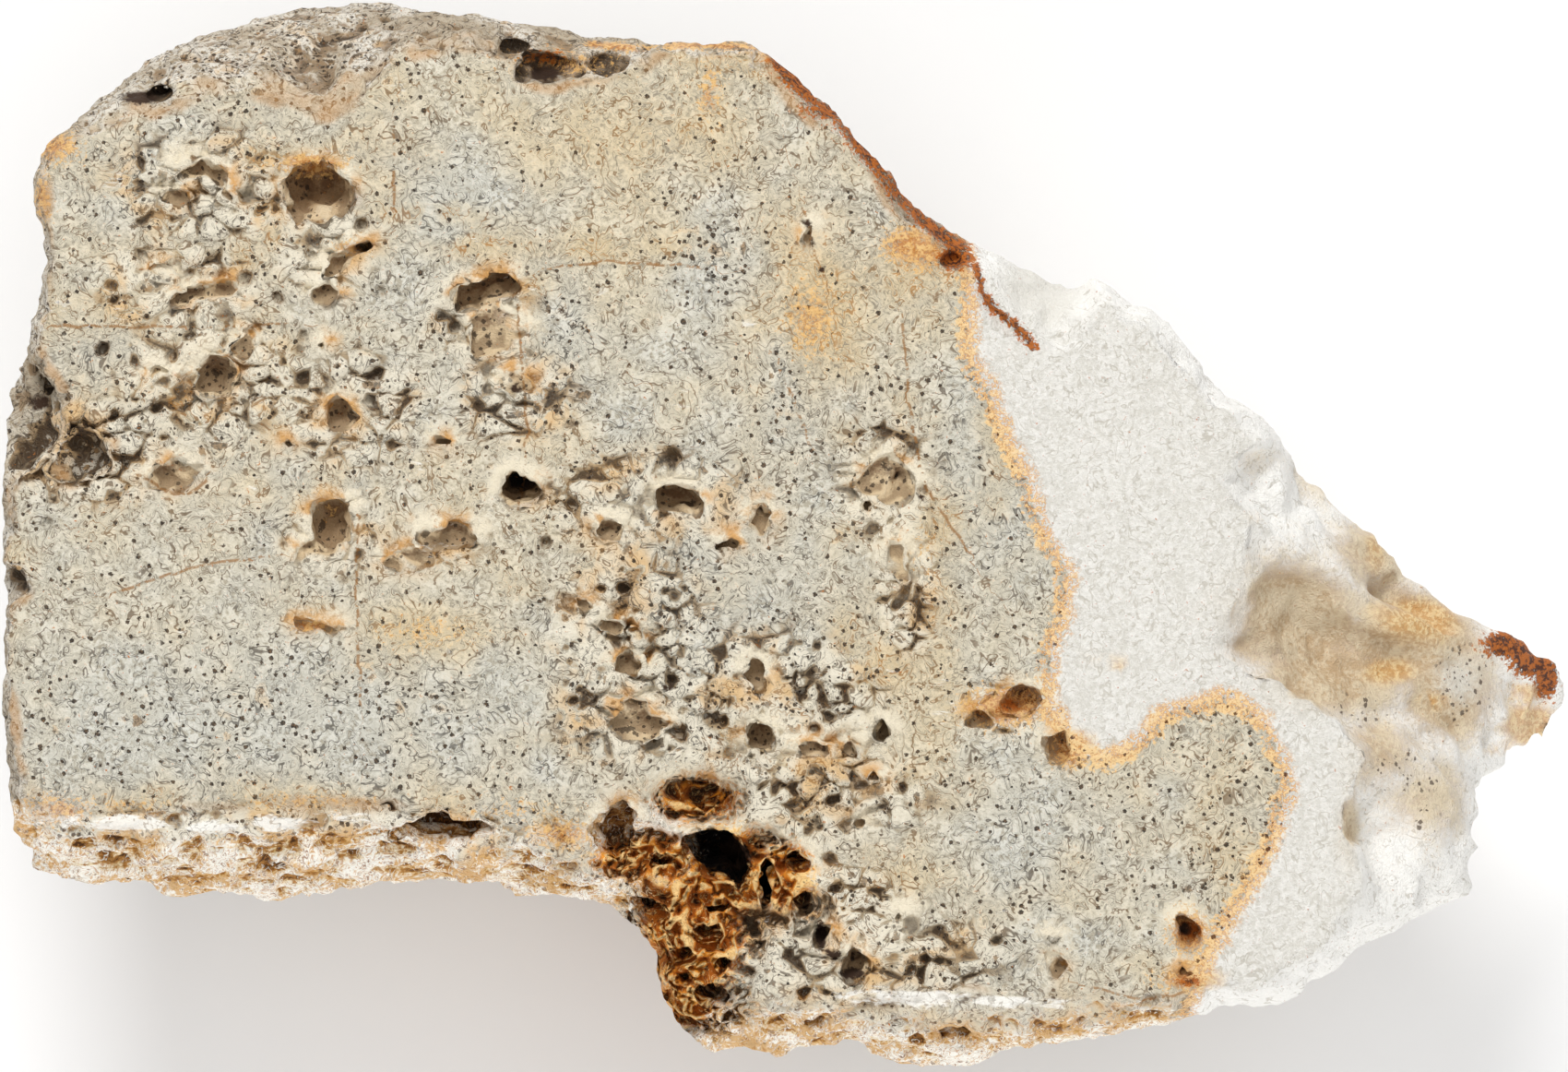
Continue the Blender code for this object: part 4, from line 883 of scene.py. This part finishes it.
# Partly painted shade: browner where the surface is sunken.
comb_colour = blend(rise(comb_sunken, 0.00, 0.45), COMB_AMBER, COMB_BROWN)
# Painted shade: near black where the hollows are deep.
comb_colour = laid(comb_colour, COMB_DEEP_SHADE, rise(added(hollow_big, (clouds, 0.5), (small, 0.9)), 0.8, 1.9))
comb_raised = added(hollow_small, (small, 0.4), (clouds, -0.4))
# Partly painted highlight: paler where the walls are raised.
comb_colour = laid(comb_colour, COMB_CREST, rise(comb_raised, -0.12, -0.42))
comb_stroke = blend(rise(small, 0.40, 0.52), COMB_STROKE, COMB_STROKE_PALE)
comb_colour = laid(comb_colour, comb_stroke, line["Coarse"], 0.85)
comb_colour = laid(comb_colour, COMB_THREAD, line["Fine"], 0.55)
stone_colour = laid(stone_colour, comb_colour, rise(added(read("comb"), (small, 0.8)), 0.6, 0.9),
                    less(rise(vug, 6.0, 10.0)))

# Calcite: sawn white with faint strokes; broken end with tan depths, ochre patches and specks.
CALCITE_GREY, CALCITE_SAWN = colour(214, 210, 200), colour(234, 231, 224)
CALCITE_BROKEN, CALCITE_STROKE = colour(253, 251, 246), colour(176, 168, 152)
CALCITE_THREAD = colour(255, 253, 248)
TAN_DEEP, TAN_PALE, CALCITE_DULL = colour(190, 160, 120), colour(222, 204, 172), colour(222, 218, 208)
CALCITE_OCHRE, CALCITE_GOLD, CALCITE_SPECK = colour(208, 156, 88), colour(236, 204, 146), colour(84, 68, 52)
broken_off = less(sawn_mask)
calcite = blend(rise(added(small, (mottle, 0.3)), 0.30, 0.70), CALCITE_GREY, CALCITE_SAWN)
calcite = laid(calcite, CALCITE_BROKEN, broken_off, 0.8)
calcite = laid(calcite, CALCITE_STROKE, line["Coarse"], rise(mottle, -0.3, 0.2), 0.55)
calcite = laid(calcite, CALCITE_THREAD, thin, 0.30)
depths = rise(added(read("tan"), (hollow_big, 0.10), (small, 0.60), (clouds, 0.45)), 0.45, 1.30)
tan_colour = blend(rise(added(small, (mottle, 0.2), (clouds, 0.5)), 0.30, 0.70), TAN_DEEP, TAN_PALE)
calcite = laid(calcite, tan_colour, depths, less(both(sawn_mask, 0.75)), 0.95)
calcite = laid(calcite, CALCITE_DULL, rise(added(read("grey"), (small, 0.5)), 0.45, 1.0), broken_off, 0.8)
golden = rise(added(read("ochre"), (small, 0.35), (clouds, 0.6)), 0.45, 1.15)
calcite = laid(calcite, blend(rise(small, 0.42, 0.60), CALCITE_OCHRE, CALCITE_GOLD), golden, 0.8)
calcite = laid(calcite, CALCITE_SPECK, dots, rise(speckled, 0.20, 0.5), 0.85)
to_calcite = rise(added(contact, (small, 1.6)), 0.75, 1.15)
stone_colour = laid(stone_colour, calcite, to_calcite)

# The rusty line between them, grainy and broken, the deep rust on tip and upper edge, and grit.
BAND_ORANGE, BAND_CREAM, BAND_DOT = colour(202, 130, 50), colour(240, 204, 146), colour(84, 46, 18)
RUST_DARK, RUST_ORANGE, DARK_SPOT = colour(76, 34, 6), colour(180, 98, 24), colour(58, 38, 22)
GRIT_DARK, GRIT_LIGHT = colour(90, 90, 90), colour(255, 255, 255)
edge = added(calc(tree, "SUBTRACT", contact, 1.8), (mottle, 1.0), (small, 3.0))
grains = added(small, (clouds, 0.25), (tiny, 0.5))
band = both(rise(edge, -1.3, -0.7), rise(edge, 1.3, 0.5), rise(grains, 0.62, 0.75))
stone_colour = laid(stone_colour, blend(rise(grains, 0.68, 0.84), BAND_ORANGE, BAND_CREAM), band, 0.92)
stone_colour = laid(stone_colour, BAND_DOT, rise(edge, -1.1, -0.7), rise(edge, 0.6, 0.2), dots, 0.9)
rust = rise(calc(tree, "ADD", ragged, read("rust")), 1.50, 1.85)
stone_colour = laid(stone_colour, blend(rise(small, 0.40, 0.58), RUST_DARK, RUST_ORANGE), rust)
# The dark spots are listed; over the recess in the left edge, the bank's recess and the holes in and beside
# the honeycomb they are painted shade.
stone_colour = laid(stone_colour, DARK_SPOT, rise(added(read("dark"), (small, 0.7)), 0.75, 1.05))
stone_colour = blend(0.20, stone_colour, blend(grit, GRIT_DARK, GRIT_LIGHT), "SOFT_LIGHT")

# Limestone is duller than calcite, and both have a fine grain.
LIME_ROUGH, CALCITE_ROUGH = [0.86, 0.86, 0.86, 1], [0.52, 0.52, 0.52, 1]
GRAIN_HEIGHT = 0.00022
height = added(both(grit, 0.25), (tiny, 0.6), (small, 1.2))
relief = add(tree, "Bump", {}, Strength=0.9, Distance=GRAIN_HEIGHT, Height=height)
rough = blend(to_calcite, LIME_ROUGH, CALCITE_ROUGH)
shader = add(tree, "BsdfPrincipled", {}, Base_Color=stone_colour, Normal=relief.outputs[0],
             Roughness=added(rough, (small, 0.14)))
tree.links.new(shader.outputs[0], out.inputs["Surface"])
skin.materials.clear()
skin.materials.append(finish)


# Floor, light and view. A plain pale floor, and soft light from above, from the far side and low
# from the near side. A long lens looks straight down on the sawn face, as the photo does.
FLOOR_REACH = 3
FLOOR_PALE = (0.93, 0.93, 0.93, 1)
FLOOR_ROUGH = 0.9
SURROUNDINGS = 0.52
LAMPS = (("far_side", (-0.15, 0.75, 0.85), 0.45, 7.6),
         ("overhead", (0.1, 0.1, 1.6), 1.2, 3.7),
         ("near_side", (0.1, -0.9, 0.35), 0.8, 4.2))
VIEW_AT = (-0.000684, -0.000101, 1.2953)
LENS = 301.1

floor_mesh = bpy.data.meshes.new("floor")
floor_mesh.from_pydata([(-FLOOR_REACH, -FLOOR_REACH, 0), (FLOOR_REACH, -FLOOR_REACH, 0),
                        (FLOOR_REACH, FLOOR_REACH, 0), (-FLOOR_REACH, FLOOR_REACH, 0)], [], [(0, 1, 2, 3)])
floor = bpy.data.objects.new("floor", floor_mesh)
bpy.context.scene.collection.objects.link(floor)
pale = bpy.data.materials.new("pale floor")
pale.use_nodes = True
pale.node_tree.nodes["Principled BSDF"].inputs["Base Color"].default_value = FLOOR_PALE
pale.node_tree.nodes["Principled BSDF"].inputs["Roughness"].default_value = FLOOR_ROUGH
floor_mesh.materials.append(pale)

world = bpy.data.worlds.new("soft surroundings")
world.use_nodes = True
world.node_tree.nodes["Background"].inputs["Color"].default_value = (1, 1, 1, 1)
world.node_tree.nodes["Background"].inputs["Strength"].default_value = SURROUNDINGS
bpy.context.scene.world = world
for name, place_at, size, power in LAMPS:
    lamp = bpy.data.lights.new(name, "AREA")
    lamp.shape = "DISK"
    lamp.size = size
    lamp.energy = power
    holder = bpy.data.objects.new(name, lamp)
    holder.location = place_at
    direction = -holder.location
    holder.rotation_mode = "QUATERNION"
    holder.rotation_quaternion = direction.to_track_quat("-Z", "Y")
    bpy.context.scene.collection.objects.link(holder)

lens = bpy.data.cameras.new("view")
lens.lens = LENS
lens.sensor_width = 36.0
lens.clip_start = 0.05
lens.clip_end = 20.0
viewer = bpy.data.objects.new("view", lens)
viewer.location = VIEW_AT
bpy.context.scene.collection.objects.link(viewer)
bpy.context.scene.camera = viewer
bpy.context.scene.view_settings.view_transform = "Standard"
